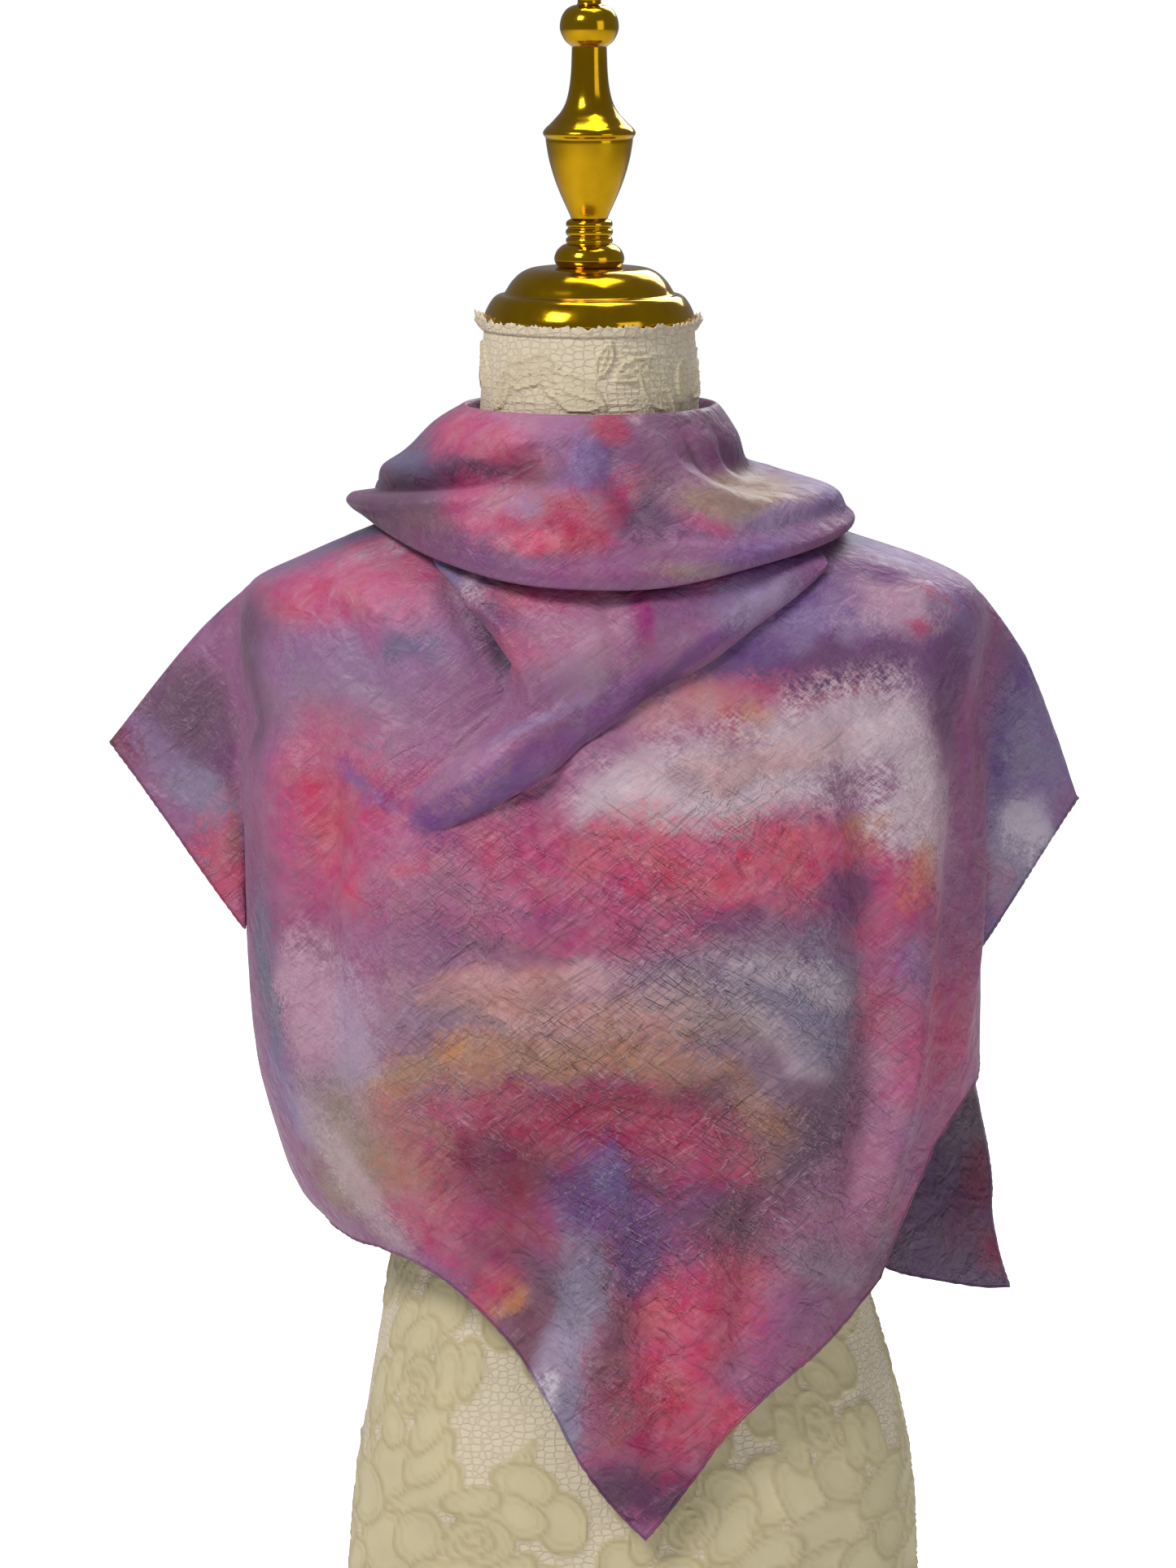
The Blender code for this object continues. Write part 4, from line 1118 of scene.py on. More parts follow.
def to_linear(colour):
    """A colour from 0 to 255 as plain amounts of light."""
    value = np.array(colour, float) / 255
    return np.where(value <= 0.04045, value / 12.92, ((value + 0.055) / 1.055) ** 2.4)


def plain(*colour):
    """The same for a material's own colour."""
    return tuple(to_linear(colour))


def feather(points, fray, seed):
    """Small sideways shifts, in millimetres, that fray the edges of the dye patches."""
    shift = [np.zeros(points.shape[:-1]), np.zeros(points.shape[:-1])]
    for size, reach, own in FEATHER_SETS:
        for axis in (0, 1):
            shift[axis] += soft_noise(points * 1000, size, own + seed + axis) * (reach * fray)
    return shift


def dyed(points, across, up, base, patches, place=None, fray=1.0):
    """Both colours of the cloth, in linear light: patches laid over a base."""
    layers = []
    spots = [(*(place(x, z) if place else (x, z)), *rest) for x, z, *rest in patches]
    for grow, seed in DYE_LAYERS:
        shift_across, shift_up = feather(points, fray, seed)
        colour = np.broadcast_to(to_linear(DYES[base]), (*np.shape(across), 3)).copy()
        for x, z, half_width, half_height, turn, dye, strength in spots:
            along, over = turned(across + shift_across - x, up + shift_up - z,
                                 math.radians(turn))
            reach = np.hypot(along / half_width, over / half_height) / grow
            share = (strength * (1 - smooth_step(*DYE_EDGE, reach)))[..., None]
            colour = colour * (1 - share) + to_linear(DYES[dye]) * share
        layers.append(colour)
    return np.concatenate(layers, axis=-1)


def paint_dyes(thing, colours, crumple):
    """Stores both colours of the cloth, with any painted shade in them, and how crumpled it is from
    0 to 1.
    """
    paint(thing, "dye", colours[:, :3])
    paint(thing, "dye_frayed", colours[:, 3:])
    paint(thing, "crumple", np.broadcast_to(crumple, len(colours)))


def mesh_object(name, points, faces):
    """A smoothly shaded piece from points and the corner numbers of its faces."""
    mesh = bpy.data.meshes.new(name)
    mesh.from_pydata(np.reshape(points, (-1, 3)).tolist(), [], faces)
    mesh.validate()
    mesh.shade_smooth()
    thing = bpy.data.objects.new(name, mesh)
    bpy.context.scene.collection.objects.link(thing)
    return thing


def paint(thing, name, values):
    """Stores one value or colour for each point of a mesh."""
    values = np.asarray(values, float)
    if values.ndim == 1:
        layer = thing.data.attributes.new(name, "FLOAT", "POINT")
        layer.data.foreach_set("value", values)
        return
    layer = thing.data.color_attributes.new(name, "FLOAT_COLOR", "POINT")
    layer.data.foreach_set("color", np.column_stack([values, np.ones(len(values))]).ravel())


def grid_normals(grid, ring=False):
    """Outward directions at each point of a grid whose rows run down and columns round."""
    if ring:
        across = np.roll(grid, -1, 1) - np.roll(grid, 1, 1)
    else:
        across = np.gradient(grid, axis=1)
    return unit(np.cross(across, -np.gradient(grid, axis=0)))


def grid_faces(rows, columns, ring=False):
    """Corner numbers of a grid's faces, facing outward."""
    spans = columns if ring else columns - 1
    i, j = np.meshgrid(np.arange(rows - 1), np.arange(spans), indexing="ij")
    right = (j + 1) % columns
    a, b = i * columns + j, i * columns + right
    d, c = (i + 1) * columns + j, (i + 1) * columns + right
    return np.stack([a, d, c, b], -1).reshape(-1, 4)


def capped_ring(name, rings):
    """A closed solid through rings of points, flat at both ends, its sharp edges kept."""
    rows, columns = rings.shape[:2]
    faces = grid_faces(rows, columns, ring=True).tolist()
    last = (rows - 1) * columns
    faces.append(list(range(columns)))
    faces.append([last + k for k in range(columns)][::-1])
    thing = mesh_object(name, rings, faces)
    thing.data.set_sharp_from_angle(angle=math.radians(50))
    return thing


def closed_sheet(name, middle, half, ring=False):
    """A thin closed solid, half its thickness to each side of a grid of points."""
    rows, columns = middle.shape[:2]
    normals = grid_normals(middle, ring)
    count = rows * columns
    points = np.concatenate([(middle + normals * half).reshape(-1, 3),
                             (middle - normals * half).reshape(-1, 3)])
    outer = grid_faces(rows, columns, ring)
    first = np.arange(columns if ring else columns - 1)
    following = (first + 1) % columns
    last = (rows - 1) * columns
    faces = [outer, outer[:, ::-1] + count,
             np.stack([first, following, following + count, first + count], -1),
             np.stack([last + first, last + first + count,
                       last + following + count, last + following], -1)]
    if not ring:
        left = np.arange(rows - 1) * columns
        right = left + columns - 1
        faces.append(np.stack([left, left + count, left + columns + count, left + columns], -1))
        faces.append(np.stack([right, right + columns, right + columns + count,
                               right + count], -1))
    return mesh_object(name, points, np.concatenate(faces).tolist())


def silk_shell(name, middle, colour, crumple, ring=False):
    """A sheet of silk with its dyes, its underside painted a little darker as shade."""
    thing = closed_sheet(name, middle, SILK_HALF, ring)
    flat = colour.reshape(middle.shape[0] * middle.shape[1], -1)
    crumple = np.broadcast_to(crumple, middle.shape[:2]).ravel()
    # The underside's copy of the dyes is darkened as painted shade
    paint_dyes(thing, np.concatenate([flat, flat * UNDERSIDE_PAINTED_SHADE]), np.tile(crumple, 2))
    return thing


def hem_tube(name, path, colour):
    """The narrow rolled hem along an edge: a thin tube, slightly beaded by its hand stitches, its
    dyes painted darker as shade.
    """
    along = unit(np.gradient(path, axis=0))
    side = unit(np.cross(along, np.array([0.31, 0.22, 0.93])))
    over = np.cross(side, along)
    run = np.concatenate([[0], np.cumsum(np.linalg.norm(np.diff(path, axis=0), axis=1))])
    wobble = soft_noise(np.column_stack([run, run * 0, run * 0]) * 1000, 3.5, 31)
    bead = 1 + HEM_BEAD * np.sin(run / HEM_STITCH * math.tau) + HEM_WOBBLE * wobble
    turns = np.arange(HEM_SIDES) / HEM_SIDES * math.tau
    rings = (path[:, None] + HEM_RADIUS * bead[:, None, None]
             * (np.cos(turns)[None, :, None] * side[:, None]
                + np.sin(turns)[None, :, None] * over[:, None]))
    thing = capped_ring(name, rings)
    # The hem's dyes, darkened as painted shade
    paint_dyes(thing, np.repeat(colour, HEM_SIDES, axis=0) * HEM_PAINTED_SHADE, 0.0)
    return thing


# Short names of the shader's inputs
SHADER_NAMES = {"sheen": "Sheen Weight", "sheen_roughness": "Sheen Roughness",
                "specular": "Specular IOR Level", "metallic": "Metallic"}
# Slants of the silk's crease lines: turn in degrees, length and width of a mark in metres
CREASE_SLANTS = ((38, 0.046, 0.0056), (-34, 0.040, 0.0052))


class Nodes:
    """A material's node tree, with short ways to add to it."""

    def __init__(self, name):
        self.material = bpy.data.materials.new(name)
        self.material.use_nodes = True
        self.tree = self.material.node_tree
        self.shader = self.tree.nodes["Principled BSDF"]
        self.place = self.add("ShaderNodeTexCoord").outputs["Object"]

    def add(self, kind, **settings):
        node = self.tree.nodes.new(kind)
        for key, value in settings.items():
            setattr(node, key, value)
        return node

    def link(self, source, target):
        self.tree.links.new(source, target)

    def finish(self, colour, roughness, normal, **plain_values):
        """Links a colour, a roughness and a bump, and sets the shader's other values."""
        self.link(colour, self.shader.inputs["Base Color"])
        self.link(normal, self.shader.inputs["Normal"])
        if isinstance(roughness, float):
            self.shader.inputs["Roughness"].default_value = roughness
        else:
            self.link(roughness, self.shader.inputs["Roughness"])
        for name, value in plain_values.items():
            self.shader.inputs[SHADER_NAMES[name]].default_value = value
        return self.material

    def attribute(self, name, output="Color"):
        return self.add("ShaderNodeAttribute", attribute_name=name).outputs[output]

    def noise(self, scale, detail=2.0, roughness=0.5, place=None, distortion=0.0):
        node = self.add("ShaderNodeTexNoise")
        node.inputs["Scale"].default_value = scale
        node.inputs["Detail"].default_value = detail
        node.inputs["Roughness"].default_value = roughness
        node.inputs["Distortion"].default_value = distortion
        self.link(place or self.place, node.inputs["Vector"])
        return node.outputs["Fac"]

    def slanted(self, turn_deg, length, width):
        """Places measured so that a noise of scale 1 becomes long marks on a slant."""
        turned = self.add("ShaderNodeVectorRotate", rotation_type="Y_AXIS")
        turned.inputs["Angle"].default_value = math.radians(turn_deg)
        self.link(self.place, turned.inputs["Vector"])
        node = self.add("ShaderNodeMapping")
        node.inputs["Scale"].default_value = (1 / length, 1 / width, 1 / width)
        self.link(turned.outputs["Vector"], node.inputs["Vector"])
        return node.outputs["Vector"]

    def crease(self, turn_deg, length, width, reach, offset=0.0):
        """Thin winding lines where a slanted noise passes its middle."""
        marks = self.noise(1.0, 3, 0.55, self.slanted(turn_deg, length, width), 0.5)
        gap = self.maths("ABSOLUTE", self.maths("SUBTRACT", marks, 0.5 + offset), 0.0)
        return self.ranged(gap, 0.0, reach, 1.0, 0.0)

    def creases(self, join, reach, offset=0.0):
        """Winding lines on both slants of the cloth, joined by a sum or by the larger."""
        return self.maths(join, *(self.crease(*slant, reach, offset) for slant in CREASE_SLANTS))

    def ranged(self, value, low, high, out_low=0.0, out_high=1.0):
        node = self.add("ShaderNodeMapRange", clamp=True)
        for key, number in (("From Min", low), ("From Max", high), ("To Min", out_low),
                            ("To Max", out_high)):
            node.inputs[key].default_value = number
        self.link(value, node.inputs["Value"])
        return node.outputs["Result"]

    def maths(self, operation, first, second):
        node = self.add("ShaderNodeMath", operation=operation)
        for socket, value in zip(node.inputs, (first, second)):
            if isinstance(value, (int, float)):
                socket.default_value = value
            else:
                self.link(value, socket)
        return node.outputs["Value"]

    def mix(self, share, first, second, blend="MIX"):
        node = self.add("ShaderNodeMix", data_type="RGBA", blend_type=blend)
        for socket, value in zip((node.inputs[0], node.inputs[6], node.inputs[7]),
                                 (share, first, second)):
            if isinstance(value, (int, float)):
                socket.default_value = value
            elif isinstance(value, tuple):
                socket.default_value = (*value, 1.0)
            else:
                self.link(value, socket)
        return node.outputs[2]

    def hue(self, colour, hue, saturation, value):
        node = self.add("ShaderNodeHueSaturation")
        self.link(colour, node.inputs["Color"])
        for key, amount in (("Hue", hue), ("Saturation", saturation), ("Value", value)):
            if isinstance(amount, (int, float)):
                node.inputs[key].default_value = amount
            else:
                self.link(amount, node.inputs[key])
        return node.outputs["Color"]

    def bump(self, height, distance, strength=1.0, under=None):
        node = self.add("ShaderNodeBump")
        node.inputs["Distance"].default_value = distance
        node.inputs["Strength"].default_value = strength
        self.link(height, node.inputs["Height"])
        if under:
            self.link(under, node.inputs["Normal"])
        return node.outputs["Normal"]


def silk_material():
    """Hand-dyed silk: dyes that run along the threads, crease lines with painted highlights and
    painted shade along them, crepe and a low sheen.
    """
    n = Nodes("silk_hand_dyed")
    crumple = n.attribute("crumple", "Fac")
    fibre_a = n.noise(1.0, 3, 0.6, n.slanted(40, 0.0075, 0.0012), 0.3)
    fibre_b = n.noise(1.0, 3, 0.6, n.slanted(-36, 0.0065, 0.0011), 0.3)
    cloud = n.noise(150, 4, 0.65, distortion=0.5)
    fibres = n.maths("ADD", n.maths("ADD", fibre_a, fibre_b), cloud)
    pick = n.ranged(fibres, 1.30, 1.70)
    colour = n.mix(pick, n.attribute("dye"), n.attribute("dye_frayed"))
    broad = n.ranged(n.noise(42, 4, 0.6, distortion=0.6), 0.3, 0.7, 0.487, 0.513)
    rich = n.ranged(n.noise(70, 3, 0.6), 0.3, 0.7, 0.82, 1.06)
    value = n.ranged(fibres, 1.20, 1.80, 0.90, 1.14)
    colour = n.hue(colour, broad, rich, value)

    where = n.ranged(n.noise(15, 2), 0.40, 0.60, 0.15, 1.0)
    strength = n.maths("MULTIPLY", where, n.ranged(crumple, 0.0, 1.0, 0.10, 1.0))
    # Painted highlight: pale hairlines along the crease ridges
    pale = n.maths("MULTIPLY", n.creases("MAXIMUM", 0.012), strength)
    colour = n.mix(n.maths("MULTIPLY", pale, 0.34), colour, plain(218, 196, 212))
    # Painted shade: dark hairlines beside the creases
    dark = n.maths("MULTIPLY", n.creases("MAXIMUM", 0.020, 0.034), strength)
    colour = n.mix(n.maths("MULTIPLY", dark, 0.22), colour, plain(84, 44, 76))

    under = n.bump(n.noise(900, 2, 0.6), 0.00012, 0.5)
    under = n.bump(fibres, 0.00016, 0.5, under)
    lines = n.maths("MULTIPLY", n.creases("ADD", 0.060), strength)
    under = n.bump(lines, 0.0008, 0.9, under)
    soft_a = n.noise(1.0, 2, 0.5, n.slanted(34, 0.040, 0.011), 0.8)
    soft_b = n.noise(1.0, 2, 0.5, n.slanted(-28, 0.034, 0.010), 0.8)
    soft = n.maths("MULTIPLY", n.maths("ADD", soft_a, soft_b),
                   n.ranged(crumple, 0.0, 1.0, 0.2, 1.0))
    return n.finish(colour, n.ranged(n.noise(120, 3), 0.3, 0.7, 0.44, 0.58),
                    n.bump(soft, 0.0070, 0.8, under),
                    sheen=0.10, sheen_roughness=0.35, specular=0.38)


def cover_material():
    """The form's cover: cream lace, its flowers a little deeper than the pale net between them."""
    n = Nodes("form_lace")
    flower = n.attribute("flower", "Fac")
    cord = n.attribute("cord", "Fac")
    ground, petal = plain(214, 201, 176), plain(202, 190, 153)
    petal_edge, mesh_line = plain(168, 152, 108), plain(190, 173, 148)
    net = n.add("ShaderNodeTexVoronoi", feature="DISTANCE_TO_EDGE")
    net.inputs["Scale"].default_value = 1.0
    net.inputs["Randomness"].default_value = 0.6
    n.link(n.slanted(4, 0.0056, 0.0036), net.inputs["Vector"])
    threads = n.ranged(net.outputs["Distance"], 0.02, 0.13, 1.0, 0.0)
    bare = n.maths("SUBTRACT", 1.0, n.maths("MAXIMUM", flower, cord))
    threads = n.maths("MULTIPLY", threads, bare)
    colour = n.mix(n.maths("MULTIPLY", threads, 0.45), ground, mesh_line)
    colour = n.mix(flower, colour, petal)
    colour = n.mix(n.maths("MULTIPLY", cord, 0.65), colour, petal_edge)
    colour = n.hue(colour, 0.5, 1.0, n.ranged(n.noise(30, 3), 0.3, 0.7, 0.94, 1.05))
    under = n.bump(n.noise(1100, 2, 0.6), 0.0003, 0.5)
    return n.finish(colour, 0.72, n.bump(threads, 0.0005, 0.7, under), sheen=0.10, specular=0.3)


def brass_material():
    """Polished gold-coloured brass with faint smears."""
    n = Nodes("finial_brass")
    smear = n.ranged(n.noise(40, 4, 0.6), 0.3, 0.7)
    return n.finish(n.mix(smear, plain(200, 156, 22), plain(182, 136, 14)),
                    n.ranged(n.noise(75, 4, 0.65), 0.3, 0.75, 0.09, 0.20),
                    n.bump(n.noise(500, 2), 0.00003, 0.25), metallic=1.0)


def stage_material(name, value):
    """White paper, that the camera sees without the fall-off of the light across it."""
    n = Nodes(name)
    grain = n.ranged(n.noise(3, 3), 0.3, 0.7, value * 0.985, value)
    n.link(grain, n.shader.inputs["Base Color"])
    n.shader.inputs["Roughness"].default_value = 0.8
    n.shader.inputs["Specular IOR Level"].default_value = 0.2
    n.shader.inputs["Emission Color"].default_value = (1.0, 1.0, 1.0, 1.0)
    seen = n.add("ShaderNodeLightPath").outputs["Is Camera Ray"]
    n.link(n.maths("MULTIPLY", seen, STAGE_GLOW), n.shader.inputs["Emission Strength"])
    return n.material


def clad(thing, material, replaced=()):
    """Gives a piece its material, its body and the nodes that it stands for."""
    thing.data.materials.append(material)
    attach(thing, "root")
    if replaced:
        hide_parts(*replaced)


# Length along the hanging cloth from the front centre line, by angle, at chest height
REFERENCE_ANGLES = np.arange(-180.0, 361.0, 1.0)
REFERENCE_RING = cape_points(REFERENCE_ANGLES, 0.45)
REFERENCE_RUN = np.concatenate(
    [[0], np.cumsum(np.linalg.norm(np.diff(REFERENCE_RING, axis=0), axis=1))])
REFERENCE_RUN = (REFERENCE_RUN - REFERENCE_RUN[180]) * 1000
# Angles over which a place seen from the front or from behind is looked up
FRONT_ANGLES = np.linspace(-90, 90, 361)
BACK_ANGLES = np.linspace(90, 270, 361)


def run_at(angle):
    """Millimetres along the cloth from the front centre line to an angle."""
    return np.interp(angle, REFERENCE_ANGLES, REFERENCE_RUN)


def front_place(x, z):
    """Where a place seen from the front lies along the cloth, in millimetres."""
    across = cape_points(FRONT_ANGLES, z / 1000)[:, 0] * 1000
    return float(run_at(np.interp(x, across, FRONT_ANGLES))), z


def back_place(x, z):
    """Where a place seen from behind lies along the cloth, in millimetres."""
    across = cape_points(BACK_ANGLES, z / 1000)[:, 0] * 1000
    return float(run_at(np.interp(-x, -across, BACK_ANGLES))), z


def back_angle_place(angle, z):
    """The same for a place told by its angle."""
    return float(run_at(angle)), z


def corner_hem(table, corners, angle):
    """Hem heights on smooth curves between the corners of a table."""
    heights = np.zeros(np.shape(angle))
    for start, end in zip(corners[:-1], corners[1:]):
        rows = table[start:end + 1]
        inside = (angle >= rows[0][0] - 1e-9) & (angle <= rows[-1][0] + 1e-9)
        heights = np.where(inside, smooth_columns(rows, angle)[..., 0], heights)
    return heights


def stepped(knots, step):
    """Numbers through all the knots, about one step apart."""
    parts = []
    for low, high in zip(knots[:-1], knots[1:]):
        count = max(int(round((high - low) / step)), 1)
        parts.append(np.linspace(low, high, count, endpoint=False))
    return np.concatenate([*parts, [knots[-1]]])


def room_inside(points, normals, angle, height):
    """How far the hanging cloth may move in before it meets the form."""
    gap = ((points - form_points(angle, height)) * normals).sum(-1)
    return np.maximum(gap - FORM_CLEAR - SILK_HALF, 0.0)


def side_share(angle):
    """Angles counted on round the back, and how far the back has taken over from the front."""
    behind = np.where(angle < 0, angle + 360, angle)
    return behind, smooth_step(*SIDE_BLEND, np.minimum(behind, 360 - behind))


def front_relief(points, run, up):
    """Folds and creases of the front, in metres."""
    return (fold_field(run, up, FRONT_FOLDS, front_place) * FOLD_DEPTH
            + crinkles(points, run, up, front_crinkle(run, up)))


def back_relief(points, run, up):
    """Folds and creases of the back, in metres."""
    return (fold_field(run, up, BACK_FOLDS, back_angle_place) * FOLD_DEPTH
            + crinkles(points, run, up, back_crinkle(up)))


def cape_lift(points, angle, height):
    """How far folds and creases stand out of the hanging cloth, alike on both sides of a seam."""
    behind, share = side_share(angle)
    up = height * 1000
    lift = (front_relief(points, run_at(angle), up) * (1 - share)
            + back_relief(points, run_at(behind), up) * share)
    room = room_inside(points, outward(cape_points, angle, height), angle, height)
    over_tail = ((behind > TAIL_HEM[0][0] - TAIL_MARGIN_DEG)
                 & (behind < TAIL_HEM[-1][0] + TAIL_MARGIN_DEG)
                 & (height < TAIL_TOP + TAIL_MARGIN))
    room = np.where(over_tail, np.minimum(room, TAIL_ROOM), room)
    return np.where(lift < 0, -np.minimum(-lift, room), lift)


def hanging_grid(angles, hem, rows):
    """The cloth's middle from the shoulders to its hem, with its folds."""
    share = np.linspace(0, 1, rows)[:, None]
    height = CAPE_TOP + (hem[None] - CAPE_TOP) * share
    angle = np.broadcast_to(angles[None], height.shape)
    points = cape_points(angle, height)
    signed = np.where(angle > 180, angle - 360, angle)
    lift = cape_lift(points, signed, height)
    near_hem = smooth_step(HEM_FLARE_HEIGHT, 0.0, height - hem[None])
    flare = HEM_FLARE * np.abs(soft_noise(points * 1000, HEM_FLARE_LUMPS, 61))
    lift = lift + near_hem * flare
    normals = outward(cape_points, angle, height)
    return points + normals * lift[..., None], signed, height * 1000


def front_crinkle(run, up):
    """Crinkles are deepest over the middle and lower front."""
    low = 1 - smooth_step(470, 600, up)
    middle = np.exp(-(((run - 20) / 150) ** 2))
    return 0.16 + 1.34 * low * middle


def back_crinkle(up):
    """Crinkles of the back are deeper low down."""
    return 0.45 + 0.6 * (1 - smooth_step(470, 600, up))


def make_front(material):
    """The front stretch, from the shoulders to the point of the square."""
    angles = stepped(FRONT_KNOTS, FRONT_STEP_DEG)
    hem = corner_hem(FRONT_HEM, FRONT_HEM_CORNERS, angles)
    grid, angle, up = hanging_grid(angles, hem, FRONT_ROWS)
    make_silk("front", material, grid, cape_dye(grid, angle, up / 1000),
              front_crinkle(run_at(angle), up) / CRUMPLE_SCALE,
              FRONT_FREE_ROW)


def make_back(material):
    """The back stretch, one seam's gap from the front at each side."""
    gap = math.degrees(SEAM_GAP / SEAM_RADIUS)
    angles = stepped((FRONT_TO + gap, 360.0 + FRONT_FROM - gap), BACK_STEP_DEG)
    hem = smooth_columns(BACK_HEM, angles)[..., 0]
    grid, angle, up = hanging_grid(angles, hem, BACK_ROWS)
    make_silk("back", material, grid, cape_dye(grid, angle, up / 1000),
              back_crinkle(up) / CRUMPLE_SCALE, LOWEST_ROW)


def free_edge(grid, first):
    """Down one side of a grid from a row, along its last row and up the other side."""
    return np.concatenate([grid[first:, 0], grid[-1, 1:], grid[first:-1, -1][::-1]])


def make_silk(part, material, grid, colour, crumple, free_row=None, ring=False):
    """One stretch of the scarf, with its rolled hem where it has a free edge."""
    name = "silk_" + part
    piece = silk_shell(name, grid, colour, crumple, ring)
    clad(piece, material, ("scarf_" + part,))
    if free_row is not None:
        hem_piece = hem_tube(name + "_hem", free_edge(grid, free_row),
                             free_edge(colour, free_row))
        clad(hem_piece, material)
    declare(grid, ring)


def declare(grid, ring):
    """Repeats a ring grid's first column at its end; the result is not used."""
    if ring:
        grid = np.concatenate([grid, grid[:, :1]], axis=1)


def make_tail(material):
    """The corner of the square that hangs at the right side."""
    angles = np.linspace(TAIL_HEM[0][0], TAIL_HEM[-1][0], TAIL_COLUMNS)
    hem, flare = np.moveaxis(smooth_columns(TAIL_HEM, angles), -1, 0)
    share = np.linspace(0, 1, TAIL_ROWS)[:, None]
    height = TAIL_TOP + (hem[None] - TAIL_TOP) * share
    angle = np.broadcast_to(angles[None], height.shape)
    below = np.clip((TAIL_FLARE_TOP - height) / (TAIL_FLARE_TOP - hem[None]), 0.0, 1.0)
    points = cape_points(angle, height, flare[None] * below**TAIL_FLARE_CURVE - LAYER_STEP)
    up = height * 1000
    wave = TAIL_WAVE * np.sin((angle - 92) / 49 * math.tau * TAIL_WAVES + 0.4) * below
    lift = wave + crinkles(points, run_at(angle), up, 0.8) * below
    grid = points + grid_normals(points) * lift[..., None]
    across = points[..., 0] * 1000 - (points[..., 1] - 0.02) * 400
    make_silk("tail", material, grid, dyed(grid, across, up, "lilac", TAIL_DYES),
              CRUMPLE["tail"], TAIL_FREE_ROW)


def wing_fan(row, turn, angle, height, foot, stand):
    """The corner itself: points, folds and the share of the way from its root to its hem."""
    name, side, _, *corner, _, _, bulge = row
    root = cape_points(angle, height) + outward(cape_points, angle, height) * stand
    low = cape_points(angle, foot) + outward(cape_points, angle, foot) * stand
    pull = (np.sin(turn) ** WING_REACH)[:, None]
    hem = low * (1 - pull) + np.array(corner) * pull
    t = np.linspace(0, 1, WING_STEPS)[None, :]
    grid = root[:, None] * (1 - t[..., None]) + hem[:, None] * t[..., None]
    swell = (bulge * np.sin(np.pi * t**WING_SWELL) * np.sin(turn)[:, None])[..., None]
    grid = grid + np.array([side * 0.7, 0.0, 0.7]) * swell
    grid[..., 1] -= WING_CORNER_SPREAD * np.cos(turn)[:, None] * t
    fan = np.degrees(turn)[:, None]
    lift = np.zeros(grid.shape[:2])
    for half, deep, middle in WING_FOLDS[name]:
        lift += (deep / 1000 * np.exp(-(((fan - middle) / half) ** 2))
                 * np.sin(np.pi * t**WING_FOLD_SWELL))
    return grid, lift, t


def wing_skirt(side, turn, angle, height, stand):
    """The rows that lie on the shoulder and run out of sight under its cloth."""
    back = np.linspace(1, 0, WING_SKIRT_STEPS, endpoint=False)[None, :]
    lean = np.cos(turn)[:, None]
    skirt_angle = angle[:, None] - side * WING_SKIRT_DEG * lean * back
    rise = np.sin(turn)[:, None] ** 2 * WING_SKIRT_RISE
    skirt_height = np.clip(height[:, None] + rise * back, None, CAPE_TOP - 0.004)
    sink = stand * (1 - back) ** 1.5 - WING_SINK * back
    skirt = cape_points(skirt_angle, skirt_height)
    skirt = skirt + outward(cape_points, skirt_angle, skirt_height) * sink[..., None]
    return skirt, skirt_angle, skirt_height


def wing_grid(row):
    """A corner of the square that stands out over the shoulder like a cap sleeve.

    Its inner rows lie on the shoulder, whose folds they share, and run out of sight under it,
    so that the corner grows smoothly out of the cloth over the shoulder.
    """
    side, ridge, front_foot, back_foot = row[1], row[2], row[6], row[7]
    turn = np.radians(np.linspace(*WING_FAN_DEG, WING_RIBS))
    swing = (1 - np.cos(turn)) / 2
    angle = side * (WING_FRONT_ANGLE + (WING_BACK_ANGLE - WING_FRONT_ANGLE) * swing)
    foot = front_foot + (back_foot - front_foot) * swing
    height = foot + (ridge - foot) * np.sin(turn) ** WING_ARCH
    stand = (WING_LIFT * np.sin(turn) ** 0.5)[:, None]
    fan, lift, t = wing_fan(row, turn, angle, height, foot, stand)
    skirt, skirt_angle, skirt_height = wing_skirt(side, turn, angle, height, stand)
    grid = np.concatenate([skirt, fan], axis=1)
    lift = np.concatenate([np.zeros(skirt.shape[:2]), lift], axis=1)
    angles = np.concatenate([skirt_angle, np.repeat(angle[:, None], WING_STEPS, 1)], axis=1)
    heights = np.concatenate([skirt_height, np.repeat(height[:, None], WING_STEPS, 1)], axis=1)

    softness = (np.sin(turn) ** 2)[:, None, None]
    first, last = WING_SKIRT_STEPS - WING_BLEND, WING_SKIRT_STEPS + WING_BLEND
    for _ in range(WING_SMOOTHINGS):
        middle = (grid[:, first - 1:last - 1] + grid[:, first + 1:last + 1]) / 2
        grid[:, first:last] += (middle - grid[:, first:last]) * 0.5 * softness

    free = np.concatenate([np.zeros((1, WING_SKIRT_STEPS)), t], axis=1)
    on_cape = smooth_step(WING_FOLDS_END, 0.0, free)
    folds = cape_lift(cape_points(angles, heights), angles, heights)
    own = crinkles(grid, grid[..., 1] * 1000, grid[..., 2] * 1000, 0.45)
    lift = lift + folds * on_cape + own * (1 - on_cape)
    parts = (grid, lift, angles, heights, np.broadcast_to(free, lift.shape))
    if side < 0:
        parts = tuple(part[::-1] for part in parts)
    grid, lift, angles, heights, free = (np.swapaxes(part, 0, 1) for part in parts)
    return grid + grid_normals(grid) * lift[..., None], angles, heights, free


def cape_dye(points, angle, height):
    """The dye of the cloth over the shoulders and down, where front and back tables meet."""
    up = height * 1000
    behind, share = side_share(angle)
    front = dyed(points, run_at(angle), up, "mauve", FRONT_DYES, front_place)
    back = dyed(points, run_at(behind), up, "mauve", BACK_DYES, back_place)
    share = share[..., None]
    return front * (1 - share) + back * share


